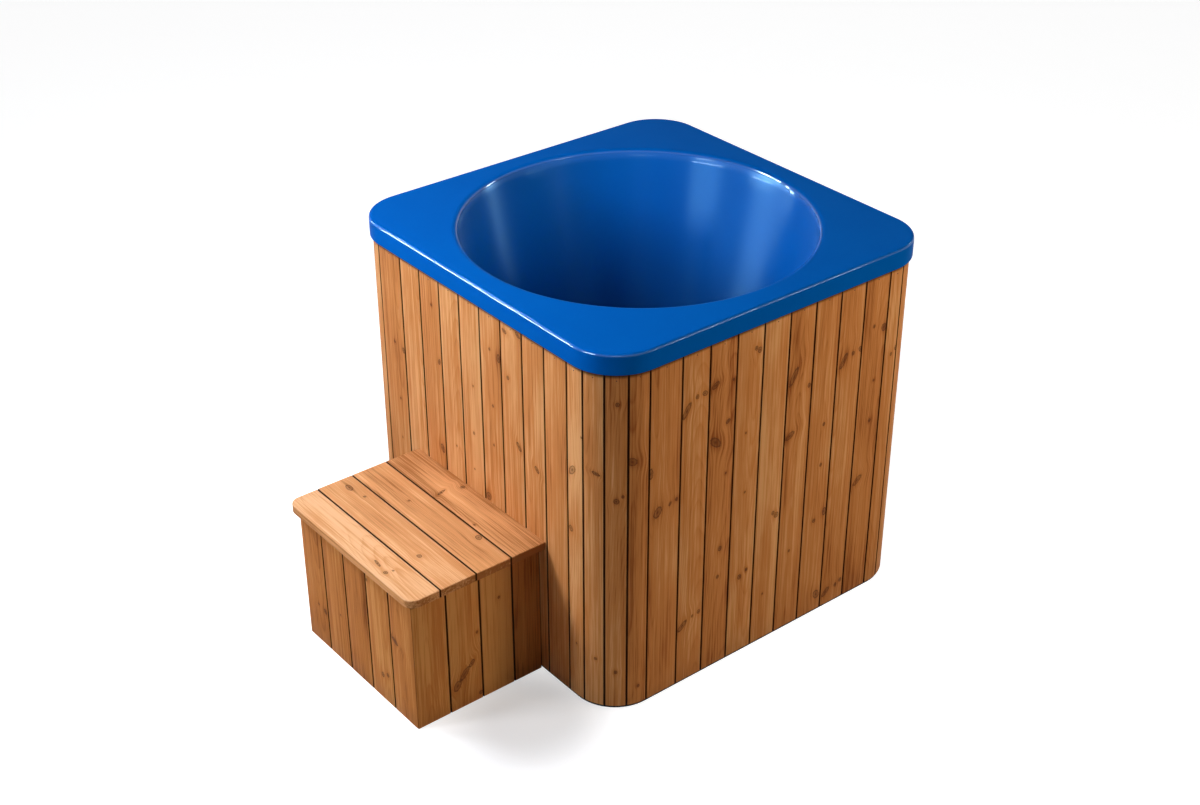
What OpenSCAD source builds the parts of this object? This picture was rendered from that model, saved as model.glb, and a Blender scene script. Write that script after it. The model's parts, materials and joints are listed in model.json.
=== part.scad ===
// Cold plunge tub: a square moulded liner with a round bowl, set in a casing of
// tongue and groove boards, with a drain valve at the back and a loose entry step.
// Sizes are millimetres and +Z is up. The origin is on the floor under the middle
// of the tub. The step stands at the front, towards -Y, and the drain is at +Y.

/* [Liner] */
// Width of the square rim, measured over its skirt
tub_w = 1100; // [1000:10:1300]
// Height of the rim above the floor
tub_h = 1060; // [900:5:1200]
// Corner radius of the rim, seen from above
rim_r = 135; // [115:1:170]
// Height of the skirt that turns down over the boards
skirt_h = 56; // [40:1:80]
// Rounding of the rim's outer edge
edge_r = 8; // [7:0.5:14]
// Wall thickness of the liner
shell_t = 6; // [4:0.5:6.5]
// Rim width from the skirt to the bowl's mouth, at the middle of a side
rim_margin = 70; // [62:1:110]
// Width of the soft roll round the mouth
lip_w = 14; // [8:1:20]
// How far the soft roll tips over before the tight edge, in degrees
lip_tip = 35; // [25:1:50]
// Radius of the tight edge below the soft roll
lip_r = 8; // [7:0.5:12]
// Lean of the bowl's wall from upright, in degrees
wall_taper = 12; // [6:0.5:16]
// Height of the bowl's floor above the ground
floor_z = 120; // [118:1:170]
// Radius between the bowl's wall and its floor
floor_r = 80; // [50:5:110]

/* [Casing boards] */
// Thickness of a casing board
board_t = 14; // [12:0.5:18]
// Cover width of a casing board, from joint to joint
board_w = 88.75; // [70:0.25:110]
// Width of the first board after each corner
wide_board_w = 101; // [80:1:120]
// Number of narrow curved boards that go round each corner
stave_count = 4; // [3:1:6]
// Wished width of a narrow corner board
stave_w = 56; // [45:1:70]
// Distance from the last joint of the front or back to the start of its corner curve
stave_lead = 31; // [20:1:60]
// How much further along the boards of the left and right sides are set
side_shift = 13; // [0:1:15]
// Open gap between the faces of two boards
joint_gap = 2; // [1:0.5:3]
// Chamfer along the face edges of a board
joint_chamfer = 1.2; // [0.5:0.1:2]
// Depth from the board's face to its tongue
tongue_depth = 5.5; // [4:0.5:6.5]
// Thickness of the tongue
tongue_t = 4; // [3:0.5:5]
// Length of the tongue from its shoulder
tongue_l = 6; // [4:0.5:8]
// Clearance of the tongue in its groove
tongue_clear = 0.3; // [0.2:0.1:0.6]
// Free space between the skirt's inner face and the boards
skirt_gap = 2; // [1:0.5:5]
// Distance from the rim's underside down to the tops of the boards
board_drop = 6; // [3:1:15]

/* [Casing frame] */
// Thickness of the black base plate
base_t = 8; // [5:1:15]
// Setback of the base plate from the boards' faces
base_inset = 4; // [2:1:10]
// Thickness of each plywood ring
ring_t = 21; // [18:1:27]
// Height of the middle ring's centre above the floor
middle_ring_z = 520; // [400:10:650]
// Side of a square corner post
post_w = 45; // [35:1:60]
// Width of the flat post at the middle of each side
side_post_w = 70; // [60:1:100]
// Depth of a side post, from the boards inwards
side_post_t = 33; // [25:1:36]
// Thickness of the foam jacket round the bowl
jacket_t = 20; // [10:1:30]
// Height above the bowl's floor at which the jacket starts
jacket_start = 100; // [90:5:160]
// Radius of the foam disc under the bowl's floor
foam_r = 300; // [220:5:340]
// Width of the rim blocks' bearing, kept clear of the mouth's roll
rim_block_clear = 16; // [10:1:30]

/* [Drain] */
// Outer radius of the drain tail through the floor
tail_r = 24; // [20:0.5:28]
// Wall thickness of the drain fittings
drain_wall = 5; // [4:0.5:6]
// Radius of the drain flange on the bowl's floor
drain_flange_r = 40; // [36:1:50]
// Thickness of the drain flange
drain_flange_t = 4; // [3:0.5:6]
// Thickness of the strainer disc
strainer_t = 2; // [1.5:0.5:3]
// Number of holes in the outer ring of the strainer
strainer_holes = 12; // [8:1:14]
// Thickness of the gasket above the floor
gasket_t = 2; // [1:0.5:4]
// Thickness of the drain locknut
locknut_t = 10; // [8:1:14]
// Outer radius of the drain pipe
pipe_r = 20; // [16:0.5:22]
// Wall thickness of the drain pipe
pipe_wall = 3; // [2:0.5:4]
// Bend radius of the elbow along its middle line
bend_r = 28; // [26:1:34]
// Depth of a pipe socket
socket_l = 18; // [14:1:24]
// Clearance between parts that are screwed or glued into each other
joint_clear = 0.15; // [0.1:0.05:0.3]

/* [Valve] */
// Radius of the valve's ball
ball_r = 17; // [15:0.5:18]
// Radius of the waterway through the ball
waterway_r = 11; // [8:0.5:12]
// Radius of the valve stem
stem_r = 5; // [4:0.5:6]
// Running clearance of the stem in its bore
stem_clear = 0.05; // [0.03:0.01:0.1]
// Height of the valve's bonnet above the pipe's middle
bonnet_h = 40; // [36:1:50]
// Reach of the lever from the stem
lever_l = 112; // [80:1:140]
// Width of the lever
lever_w = 18; // [14:1:24]
// Thickness of the lever plate
lever_t = 3; // [2:0.5:4]
// Lift of the lever's grip above its hub
lever_rise = 14; // [8:1:20]
// Free length of the hose spigot
spigot_l = 34; // [25:1:50]
// Outer radius of the hose spigot
spigot_r = 16; // [13:0.5:18]

/* [Step] */
// Width of the step's box
step_w = 526; // [400:2:700]
// Depth of the step's box
step_d = 398; // [300:2:450]
// Height of the tread's top above the floor
step_h = 426; // [250:2:500]
// Thickness of a tread board
tread_t = 23; // [18:0.5:30]
// Overhang of the tread at each side
tread_side = 25; // [5:1:40]
// Overhang of the tread at the front
tread_front = 18; // [5:1:40]
// Radius of the tread's two outer corners
tread_r = 32; // [10:1:60]
// Width of a full tread board, from joint to joint
tread_w = 108.25; // [80:0.25:130]
// Open gap between two tread boards
tread_gap = 1.5; // [1:0.5:4]
// Width of a side board of the step, from joint to joint
step_board_w = 102.5; // [80:0.5:130]
// Number of boards across the step's front
step_front_count = 5; // [4:1:7]
// Thickness of a side or front board of the step
step_board_t = 12; // [10:0.5:18]
// Distance of the step's boards above the floor
step_board_lift = 2; // [1:1:10]
// Side of the step's square rails and posts
rail_w = 40; // [30:1:50]
// Free space between the step and the tub's boards
step_gap = 0.3; // [0.3:0.1:10]

/* [Screws] */
// Radius of a wood screw
screw_r = 2; // [1.5:0.25:3]
// Radius of a wood screw's head
screw_head_r = 4; // [3.5:0.25:5]
// Height of a wood screw's head
screw_head_t = 2.5; // [1.5:0.25:4]
// How deep a screw bites into its board
screw_bite = 11; // [6:0.5:11]

/* [Hidden] */
side_names = ["front", "right", "back", "left"];
corner_names = ["front_right", "back_right", "back_left", "front_left"];
arc_steps = 12;
fine = 96;
cut = 1;
flat_fit = 0.2;
jacket_fit = 0.3;
ring_clear = 0.8;
pipe_clear = 0.8;
ball_clear = 0.3;
screw_clear = 0.2;

// Liner outline
rim_half = tub_w / 2;
rim_band = edge_r + 16;
mouth_r = rim_half - rim_margin;
roll_r = lip_w / sin(lip_tip);
roll_c = [mouth_r + lip_w, tub_h - roll_r];
lip_dir = [cos(90 + lip_tip), sin(90 + lip_tip)];
lip_c = roll_c + (roll_r - lip_r) * lip_dir;
wall_top = lip_c + lip_r * [-cos(wall_taper), sin(wall_taper)];
fillet_z = floor_z + floor_r;
fillet_top_z = floor_z + floor_r * (1 - sin(wall_taper));
function wall_r(z) = wall_top[0] - (wall_top[1] - z) * tan(wall_taper);
fillet_c = [wall_r(fillet_top_z) - floor_r * cos(wall_taper), fillet_z];
function bowl_out_r(z) = wall_r(z) + shell_t / cos(wall_taper);
skirt_z = tub_h - skirt_h;
under_rim_z = tub_h - shell_t;

// Casing outline
casing_half = rim_half - shell_t - skirt_gap;
casing_r = rim_r - shell_t - skirt_gap;
flat_half = casing_half - casing_r;
corner_run = casing_r * PI / 2;
quarter_run = 2 * flat_half + corner_run;
board_count = 1 + round((quarter_run - stave_count * stave_w - wide_board_w) / board_w);
side_run = wide_board_w + (board_count - 1) * board_w;
board_top_z = under_rim_z - board_drop;
frame_half = casing_half - board_t - flat_fit;
frame_r = casing_r - board_t - flat_fit;

// Casing frame
bottom_ring_z = base_t;
top_ring_z = skirt_z - ring_t;
middle_z = middle_ring_z - ring_t / 2;
corner_post_c = flat_half + (frame_r - post_w * sqrt(0.5) - 3) * sqrt(0.5);

// Drain line
floor_under_z = floor_z - shell_t;
flange_top_z = floor_z + gasket_t + drain_flange_t;
tail_bore_r = tail_r - drain_wall;
locknut_z = floor_under_z - gasket_t - locknut_t;
socket_top_z = locknut_z - 3;
bend_top_z = socket_top_z - socket_l;
pipe_z = bend_top_z - bend_r;
tail_socket_r = tail_r + joint_clear;
pipe_socket_r = pipe_r + joint_clear;
pipe_bore_r = pipe_r - pipe_wall;
stop_t = 1;
pipe_start = bend_r + stop_t + 0.3;
wall_plate_t = 5;
valve_in = casing_half + wall_plate_t + 6;
chamber_half = ball_r + 2;
valve_y = valve_in + socket_l + 3 + chamber_half;
pipe_end = valve_in + socket_l;
chamber_r = ball_r + 1;
valve_body_r = max(pipe_socket_r, spigot_r + joint_clear) + drain_wall;
outlet_start = valve_y + chamber_half + 3;
valve_out = outlet_start + socket_l;
nut_t = 8;
lever_z = pipe_z + bonnet_h + nut_t + 1;
slot_w = 6;
slot_depth = 5;

// Step
step_back = -casing_half - step_gap;
step_front = step_back - step_d;
step_half = step_w / 2;
tread_depth = step_d + tread_front;
tread_half = step_half + tread_side;
tread_count = ceil(tread_depth / tread_w);
first_tread_w = tread_depth - (tread_count - 1) * tread_w;
tread_z = step_h - tread_t;
step_side_count = ceil(step_d / step_board_w);
post_x = step_half - step_board_t - rail_w / 2;
front_post_y = step_front + step_board_t + rail_w / 2;
back_post_y = step_back - rail_w / 2;
mitre_gap = 0.4;

tread_names = [for (i = [1:tread_count]) str("step_tread_", i)];

// Points along an arc round c, from angle a0 to a1
function arc_points(c, r, a0, a1) = [
    for (i = [0:arc_steps]) let (a = a0 + (a1 - a0) * i / arc_steps) c + r * [cos(a), sin(a)]
];

// The bowl's profile at a distance d outside its wetted face, from the rim to the axis
function bowl_path(d) = concat(
    [[mouth_r + lip_w + shell_t, tub_h - d]],
    arc_points(roll_c, roll_r - d, 90, 90 + lip_tip),
    arc_points(lip_c, lip_r - d, 90 + lip_tip, 180 - wall_taper),
    arc_points(fillet_c, floor_r + d, -wall_taper, -90),
    [[0, floor_z - d]]
);

function reversed(list) = [for (i = [len(list) - 1:-1:0]) list[i]];

// A point on the casing's outline: s runs from the middle of the front, through the
// front right corner, and d is the distance outside the boards' faces
function outline_point(s, d) =
    s <= flat_half ? [s, -casing_half - d]
    : let (a = (s - flat_half) / casing_r * 180 / PI)
      [flat_half + (casing_r + d) * sin(a), -flat_half - (casing_r + d) * cos(a)];

// Shared shapes

module rounded_square(half, r) {
    square([2 * half, 2 * (half - r)], center = true);
    square([2 * (half - r), 2 * half], center = true);
    for (x = [-1, 1], y = [-1, 1])
        translate([x * (half - r), y * (half - r)]) circle(r, $fn = fine);
}

module tube(outer_r, inner_r, h) {
    difference() {
        cylinder(h = h, r = outer_r, $fn = fine);
        translate([0, 0, -cut]) cylinder(h = h + 2 * cut, r = inner_r, $fn = fine);
    }
}

module hex_nut(across_r, inner_r, h) {
    difference() {
        cylinder(h = h, r = across_r, $fn = 6);
        translate([0, 0, -cut]) cylinder(h = h + 2 * cut, r = inner_r, $fn = fine);
    }
}

// Turns a shape that stands along +Z so that it lies along +Y from y, on the pipe's line
module along_pipe(y) {
    translate([0, y, pipe_z]) rotate([-90, 0, 0]) children();
}

// Liner

// Block with one rounded outer corner, hanging down from the rim's top edge
module edge_form(w, h, r) {
    translate([-w, -h]) square([w, h - r]);
    translate([-w, -r]) square([w - r, r]);
    translate([-r, -r]) circle(r, $fn = fine);
}

module rim_section() {
    difference() {
        edge_form(rim_band, skirt_h, edge_r);
        translate([-shell_t, -shell_t]) edge_form(rim_band, skirt_h, edge_r - shell_t);
    }
}

module rim_side() {
    length = 2 * (rim_half - rim_r);
    translate([length / 2, -rim_half, tub_h])
        rotate([90, 0, -90]) linear_extrude(length) rim_section();
}

module rim_corner() {
    centre = rim_half - rim_r;
    translate([centre, -centre, tub_h])
        rotate([0, 0, -90]) rotate_extrude(angle = 90, $fn = 4 * fine)
            translate([rim_r, 0]) rim_section();
}

module rim_plate() {
    translate([0, 0, under_rim_z]) linear_extrude(shell_t) difference() {
        rounded_square(rim_half - rim_band, rim_r - rim_band);
        circle(mouth_r + lip_w, $fn = 2 * fine);
    }
}

module bowl() {
    rotate_extrude($fn = 2 * fine) polygon(concat(bowl_path(0), reversed(bowl_path(shell_t))));
}

module tub_shell() {
    color("royalblue") difference() {
        union() {
            for (k = [0:3]) rotate(90 * k) {
                rim_side();
                rim_corner();
            }
            rim_plate();
            bowl();
        }
        translate([0, 0, floor_under_z - cut])
            cylinder(h = shell_t + 2 * cut, r = tail_r + joint_clear, $fn = fine);
    }
}

// Casing boards

// Cross section of a flat board between the joints at s0 and s1
module board_section(s0, s1, grooved, tongued) {
    left = s0 + joint_gap / 2;
    right = s1 - joint_gap / 2;
    tongue_back = tongue_depth + tongue_t;
    groove = tongue_l - joint_gap + tongue_clear;
    difference() {
        polygon([
            [left + joint_chamfer, 0], [left, joint_chamfer], [left, board_t],
            [right, board_t], [right, joint_chamfer], [right - joint_chamfer, 0],
        ]);
        if (grooved) translate([left - cut, tongue_depth - tongue_clear])
            square([groove + cut, tongue_t + 2 * tongue_clear]);
    }
    if (tongued) polygon([
        [right - cut, tongue_depth], [right + tongue_l, tongue_depth],
        [right + tongue_l, tongue_back], [right - cut, tongue_back],
    ]);
}

// Places of the joints of side k, from its first to its last, along the outline
function side_end(k) = flat_half - stave_lead + (k % 2) * side_shift;
function side_start(k) = side_end(k) - side_run;
function board_joint(k, i) = side_start(k) + (i == 0 ? 0 : wide_board_w + (i - 1) * board_w);
function stave_joint(k, i) = let (next = quarter_run + side_start(k + 1))
    side_end(k) + (next - side_end(k)) * i / stave_count;

module cladding(k) {
    color("peru") difference() {
        rotate(90 * k) translate([0, -casing_half, base_t]) for (i = [0:board_count - 1])
            linear_extrude(board_top_z - base_t)
                board_section(
                    board_joint(k, i), board_joint(k, i + 1), i > 0, i < board_count - 1
                );
        if (k == 2) {
            along_pipe(casing_half - board_t - cut)
                cylinder(h = board_t + 2 * cut, r = pipe_r + pipe_clear, $fn = fine);
            plate_screw_holes();
        }
    }
}

module casing_band() {
    difference() {
        rounded_square(casing_half, casing_r);
        rounded_square(casing_half - board_t, casing_r - board_t);
    }
}

// Narrow board that follows the casing's corner between the joints at s0 and s1
module stave(s0, s1) {
    out = casing_r / 5;
    inn = -board_t - out;
    from = s0 + joint_gap / 2;
    to = s1 - joint_gap / 2;
    linear_extrude(board_top_z - base_t) intersection() {
        casing_band();
        polygon([
            outline_point(from, inn), outline_point(from, out),
            outline_point(to, out), outline_point(to, inn),
        ]);
    }
}

module corner_boards(k) {
    color("sandybrown") rotate(90 * k) translate([0, 0, base_t])
        for (i = [0:stave_count - 1])
            stave(stave_joint(k, i), stave_joint(k, i + 1));
}

// Casing frame

module base_plate() {
    color("dimgray") linear_extrude(base_t)
        rounded_square(casing_half - base_inset, casing_r - base_inset);
}

// Plywood ring that fills the casing's outline round a hole of the radius given
module frame_ring(z, hole_r) {
    translate([0, 0, z]) linear_extrude(ring_t) difference() {
        rounded_square(frame_half, frame_r);
        circle(hole_r, $fn = 2 * fine);
    }
}

module bottom_ring() {
    color("burlywood") difference() {
        frame_ring(bottom_ring_z, foam_r + jacket_fit);
        along_pipe(0) cylinder(h = rim_half, r = pipe_r + pipe_clear, $fn = fine);
    }
}

module middle_ring() {
    color("burlywood") frame_ring(middle_z, bowl_out_r(middle_z + ring_t) + ring_clear);
}

module top_ring() {
    color("burlywood") frame_ring(top_ring_z, bowl_out_r(top_ring_z + ring_t) + ring_clear);
}

// Corner blocks between the top ring and the rim's underside
module rim_blocks() {
    reach = mouth_r + lip_w + rim_block_clear;
    color("burlywood") translate([0, 0, skirt_z]) linear_extrude(under_rim_z - skirt_z)
        difference() {
            rounded_square(frame_half, frame_r);
            circle(reach, $fn = 2 * fine);
            square([2 * rim_half, reach], center = true);
            square([reach, 2 * rim_half], center = true);
        }
}

// The two lengths of a post, below and above the middle ring
module post_lengths() {
    low = bottom_ring_z + ring_t;
    high = middle_z + ring_t;
    translate([0, 0, low]) linear_extrude(middle_z - low) children();
    translate([0, 0, high]) linear_extrude(top_ring_z - high) children();
}

module corner_posts() {
    color("wheat") for (k = [0:3]) rotate(90 * k) post_lengths()
        translate([corner_post_c, -corner_post_c]) square(post_w, center = true);
}

module side_post_plan(grow) {
    translate([-side_post_w / 2 - grow, -frame_half])
        square([side_post_w + 2 * grow, side_post_t + grow]);
}

module side_posts() {
    color("wheat") difference() {
        for (k = [0:3]) rotate(90 * k) post_lengths() side_post_plan(0);
        along_pipe(0) cylinder(h = rim_half, r = pipe_r + pipe_clear, $fn = fine);
    }
}

// Foam belt round the bowl between two heights
module foam_belt(low, high) {
    h = high - low;
    translate([0, 0, low]) difference() {
        cylinder(
            h = h,
            r1 = bowl_out_r(low) + jacket_fit + jacket_t,
            r2 = bowl_out_r(high) + jacket_fit + jacket_t,
            $fn = 2 * fine
        );
        translate([0, 0, -cut]) cylinder(
            h = h + 2 * cut,
            r1 = bowl_out_r(low - cut) + jacket_fit,
            r2 = bowl_out_r(high + cut) + jacket_fit,
            $fn = 2 * fine
        );
    }
}

module insulation_jacket() {
    color("lightyellow") difference() {
        union() {
            foam_belt(floor_z + jacket_start, middle_z - jacket_fit);
            foam_belt(middle_z + ring_t + jacket_fit, top_ring_z - jacket_fit);
        }
        for (k = [0:3]) rotate(90 * k) linear_extrude(tub_h) side_post_plan(jacket_fit);
    }
}

module floor_insulation() {
    socket = tail_socket_r + drain_wall + 2;
    color("whitesmoke") difference() {
        translate([0, 0, base_t])
            cylinder(h = floor_under_z - base_t, r = foam_r, $fn = 2 * fine);
        translate([0, 0, pipe_z - socket])
            cylinder(h = floor_z, r = drain_flange_r + 2, $fn = fine);
        translate([-socket, 0, pipe_z - socket])
            cube([2 * socket, foam_r + cut, 2 * socket]);
    }
}

// Drain through the bowl's floor

module drain_strainer() {
    disc_r = drain_flange_r - 10;
    color("silver") translate([0, 0, flange_top_z - strainer_t]) difference() {
        cylinder(h = strainer_t, r = disc_r, $fn = fine);
        translate([0, 0, -cut]) {
            cylinder(h = strainer_t + 2 * cut, r = 2.7, $fn = 24);
            for (i = [0:strainer_holes - 1]) rotate(i * 360 / strainer_holes)
                translate([disc_r * 0.55, 0])
                    cylinder(h = strainer_t + 2 * cut, r = disc_r * 0.1, $fn = 24);
        }
    }
}

module strainer_screw() {
    seat = flange_top_z;
    color("gainsboro") {
        translate([0, 0, seat]) cylinder(h = 1.5, r = 5, $fn = 24);
        translate([0, 0, seat - strainer_t - 8]) cylinder(h = strainer_t + 8, r = 2.5, $fn = 24);
    }
}

module drain_body() {
    foot_z = bend_top_z + stop_t + 0.3;
    seat_r = drain_flange_r - 10 + joint_clear;
    bar_z = flange_top_z - strainer_t - 6;
    color("silver") difference() {
        union() {
            translate([0, 0, foot_z]) tube(tail_r, tail_bore_r, flange_top_z - foot_z);
            translate([0, 0, floor_z + gasket_t])
                tube(drain_flange_r, tail_bore_r, drain_flange_t);
            intersection() {
                translate([0, 0, bar_z]) linear_extrude(6)
                    square([2 * drain_flange_r, 9], center = true);
                translate([0, 0, bar_z - cut]) cylinder(h = 6 + 2 * cut, r = tail_r - 1, $fn = fine);
            }
        }
        translate([0, 0, flange_top_z - strainer_t])
            cylinder(h = strainer_t + cut, r = seat_r, $fn = fine);
        translate([0, 0, bar_z - cut])
            cylinder(h = 6 + 2 * cut, r = 2.5 + joint_clear, $fn = 24);
    }
}

module drain_gasket() {
    color("black") translate([0, 0, floor_z])
        tube(drain_flange_r - 2, tail_socket_r, gasket_t);
}

module floor_gasket() {
    color("black") translate([0, 0, floor_under_z - gasket_t])
        tube(drain_flange_r - 2, tail_socket_r, gasket_t);
}

module drain_locknut() {
    color("white") translate([0, 0, locknut_z])
        hex_nut(drain_flange_r, tail_socket_r, locknut_t);
}

// Socket of a fitting, with a stop ring at its foot for the pipe's end
module socket(bore_r) {
    difference() {
        cylinder(h = socket_l, r = bore_r + drain_wall, $fn = fine);
        translate([0, 0, stop_t]) cylinder(h = socket_l, r = bore_r, $fn = fine);
        translate([0, 0, -cut]) cylinder(h = socket_l, r = tail_bore_r - stop_t, $fn = fine);
    }
}

module drain_elbow() {
    color("white") {
        translate([0, 0, bend_top_z]) socket(tail_socket_r);
        translate([0, bend_r, bend_top_z]) rotate([0, 90, 0]) rotate([0, 0, -90])
            rotate_extrude(angle = 90, $fn = 4 * fine) translate([bend_r, 0]) difference() {
                circle(tail_bore_r + drain_wall, $fn = fine);
                circle(tail_bore_r, $fn = fine);
            }
        along_pipe(bend_r) socket(pipe_socket_r);
    }
}

module drain_pipe() {
    color("white") along_pipe(pipe_start) tube(pipe_r, pipe_bore_r, pipe_end - pipe_start - 0.5);
}

module at_plate_screws() {
    for (a = [45:90:315]) rotate(a) translate([1.5 * pipe_r, 0]) children();
}

module plate_screw_holes() {
    along_pipe(casing_half - screw_bite - screw_clear) at_plate_screws()
        cylinder(h = screw_bite + wall_plate_t + cut, r = screw_r + screw_clear, $fn = 24);
}

module wall_plate() {
    color("silver") difference() {
        along_pipe(casing_half) tube(2 * pipe_r, pipe_r + joint_clear, wall_plate_t);
        plate_screw_holes();
    }
}

module plate_screws() {
    color("gainsboro") along_pipe(casing_half) at_plate_screws() {
        translate([0, 0, -screw_bite])
            cylinder(h = screw_bite + wall_plate_t, r = screw_r, $fn = 24);
        translate([0, 0, wall_plate_t]) cylinder(h = screw_head_t, r = screw_head_r, $fn = 24);
    }
}

// Ball valve behind the casing

module valve_body() {
    color("darkgoldenrod") difference() {
        union() {
            along_pipe(valve_in) cylinder(h = valve_out - valve_in, r = valve_body_r, $fn = fine);
            translate([0, valve_y, pipe_z]) sphere(chamber_r + 2 * drain_wall, $fn = fine);
            translate([0, valve_y, pipe_z])
                cylinder(h = bonnet_h, r = stem_r + 2 * drain_wall, $fn = fine);
        }
        along_pipe(valve_in - cut) cylinder(h = socket_l + cut, r = pipe_socket_r, $fn = fine);
        along_pipe(valve_in) cylinder(h = valve_out - valve_in, r = waterway_r, $fn = fine);
        along_pipe(valve_y - chamber_half)
            cylinder(h = 2 * chamber_half, r = chamber_r, $fn = fine);
        along_pipe(outlet_start)
            cylinder(h = socket_l + cut, r = spigot_r + joint_clear, $fn = fine);
        translate([0, valve_y, pipe_z])
            cylinder(h = bonnet_h + cut, r = stem_r + stem_clear, $fn = fine);
    }
}

module valve_seats() {
    ring_l = chamber_half - 10;
    color("ivory") difference() {
        for (side = [-1, 1]) translate([0, valve_y + side * (10 + ring_l / 2), pipe_z])
            rotate([90, 0, 0]) translate([0, 0, -ring_l / 2])
                tube(chamber_r - joint_clear, waterway_r, ring_l);
        translate([0, valve_y, pipe_z]) sphere(ball_r + ball_clear, $fn = fine);
    }
}

module valve_ball() {
    color("gainsboro") translate([0, valve_y, pipe_z]) difference() {
        sphere(ball_r, $fn = fine);
        rotate([0, 90, 0]) cylinder(h = 4 * ball_r, r = waterway_r, center = true, $fn = fine);
        translate([0, 0, ball_r - slot_depth / 2 + cut])
            cube([2 * ball_r, slot_w, slot_depth + 2 * cut], center = true);
    }
}

module valve_stem() {
    foot = ball_r - slot_depth + 1;
    color("gainsboro") translate([0, valve_y, pipe_z]) {
        translate([0, 0, foot + slot_depth])
            cylinder(h = bonnet_h + nut_t + lever_t + nut_t - ball_r, r = stem_r, $fn = fine);
        intersection() {
            translate([0, 0, foot]) cylinder(h = slot_depth + 1, r = stem_r, $fn = fine);
            translate([0, 0, foot + slot_depth / 2])
                cube([4 * stem_r, slot_w - 2 * joint_clear, slot_depth + 4], center = true);
        }
    }
}

module packing_nut() {
    color("darkgoldenrod") translate([0, valve_y, pipe_z + bonnet_h])
        hex_nut(stem_r + 7, stem_r + stem_clear, nut_t);
}

// Outline of the lever seen from the side: hub, rise and grip
function lever_line(h) = let (bend = stem_r + 14, top = bend + lever_rise) [
    [-lever_w / 2, 0], [bend, 0], [top, lever_rise], [lever_l, lever_rise],
    [lever_l, lever_rise + h], [top - h * 0.4, lever_rise + h], [bend - h * 0.4, h], [-lever_w / 2, h],
];

module lever_plan(grow) {
    end = lever_l - lever_w / 2;
    circle(lever_w / 2 + grow, $fn = fine);
    translate([0, -lever_w / 2 - grow]) square([end, lever_w + 2 * grow]);
    translate([end, 0]) circle(lever_w / 2 + grow, $fn = fine);
}

module valve_lever() {
    color("silver") translate([0, valve_y, lever_z]) difference() {
        intersection() {
            translate([0, lever_w / 2, 0]) rotate([90, 0, 0])
                linear_extrude(lever_w) polygon(lever_line(lever_t));
            linear_extrude(lever_rise + lever_t) lever_plan(0);
        }
        translate([0, 0, -cut])
            cylinder(h = lever_t + 2 * cut, r = stem_r + joint_clear, $fn = fine);
    }
}

module lever_grip() {
    skin = 1.8;
    start = stem_r + 14 + lever_rise + 10;
    color("firebrick") translate([0, valve_y, lever_z + lever_rise]) difference() {
        translate([0, 0, -skin]) intersection() {
            linear_extrude(lever_t + 2 * skin) lever_plan(skin);
            translate([start, -lever_w, 0]) cube([lever_l, 2 * lever_w, lever_t + 2 * skin]);
        }
        translate([0, 0, -joint_clear]) linear_extrude(lever_t + 2 * joint_clear)
            lever_plan(joint_clear);
    }
}

module lever_nut() {
    color("silver") translate([0, valve_y, lever_z + lever_t])
        hex_nut(stem_r + 4, stem_r + joint_clear, 5);
}

module hose_spigot() {
    collar = 8;
    color("darkgoldenrod") difference() {
        union() {
            along_pipe(outlet_start + 0.5)
                cylinder(h = socket_l - 0.5, r = spigot_r, $fn = fine);
            along_pipe(valve_out) cylinder(h = collar, r = spigot_r + 6, $fn = 6);
            along_pipe(valve_out + collar) cylinder(h = spigot_l, r = spigot_r, $fn = fine);
        }
        along_pipe(outlet_start)
            cylinder(h = socket_l + collar + spigot_l + cut, r = waterway_r, $fn = fine);
    }
}

// Entry step

// Plan of an upright board of the step between two places along its wall, with its
// face outwards at y = 0. A mitred end leans back at 45 degrees for the corner joint.
module step_board_plan(from, to, mitre_from, mitre_to) {
    left = from + (mitre_from ? mitre_gap : joint_gap / 2);
    right = to - (mitre_to ? mitre_gap : joint_gap / 2);
    left_back = left + (mitre_from ? step_board_t : 0);
    right_back = right - (mitre_to ? step_board_t : 0);
    left_side = left + (mitre_from ? joint_chamfer : 0);
    right_side = right - (mitre_to ? joint_chamfer : 0);
    polygon([
        [left + 2 * joint_chamfer * (mitre_from ? 1 : 0.5), 0], [left_side, joint_chamfer],
        [left_back, step_board_t], [right_back, step_board_t],
        [right_side, joint_chamfer], [right - 2 * joint_chamfer * (mitre_to ? 1 : 0.5), 0],
    ]);
}

module step_board(from, to, mitre_from, mitre_to) {
    translate([0, 0, step_board_lift]) linear_extrude(tread_z - step_board_lift)
        step_board_plan(from, to, mitre_from, mitre_to);
}

module step_front_boards() {
    each_w = step_w / step_front_count;
    last = step_front_count - 1;
    color("peru") translate([0, step_front, 0]) for (i = [0:last])
        step_board(-step_half + i * each_w, -step_half + (i + 1) * each_w, i == 0, i == last);
}

// Boards of one side, from the front to the tub; the last is cut to fit
module side_board_row() {
    for (i = [0:step_side_count - 1])
        step_board(i * step_board_w, min((i + 1) * step_board_w, step_d), i == 0, false);
}

module step_right_boards() {
    color("sienna") translate([step_half, step_front, 0]) rotate(90) side_board_row();
}

module step_left_boards() {
    color("sienna") translate([-step_half, step_front, 0]) mirror([1, 0, 0]) rotate(90)
        side_board_row();
}

module tread_outline() {
    front = step_front - tread_front;
    difference() {
        translate([-tread_half, front]) square([2 * tread_half, tread_depth]);
        for (side = [-1, 1]) translate([side * (tread_half - tread_r), front + tread_r])
            difference() {
                translate([side > 0 ? 0 : -tread_r - cut, -tread_r - cut])
                    square(tread_r + cut);
                circle(tread_r, $fn = fine);
            }
    }
}

function tread_start(i) =
    step_front - tread_front + (i == 0 ? 0 : first_tread_w + (i - 1) * tread_w);

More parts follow.
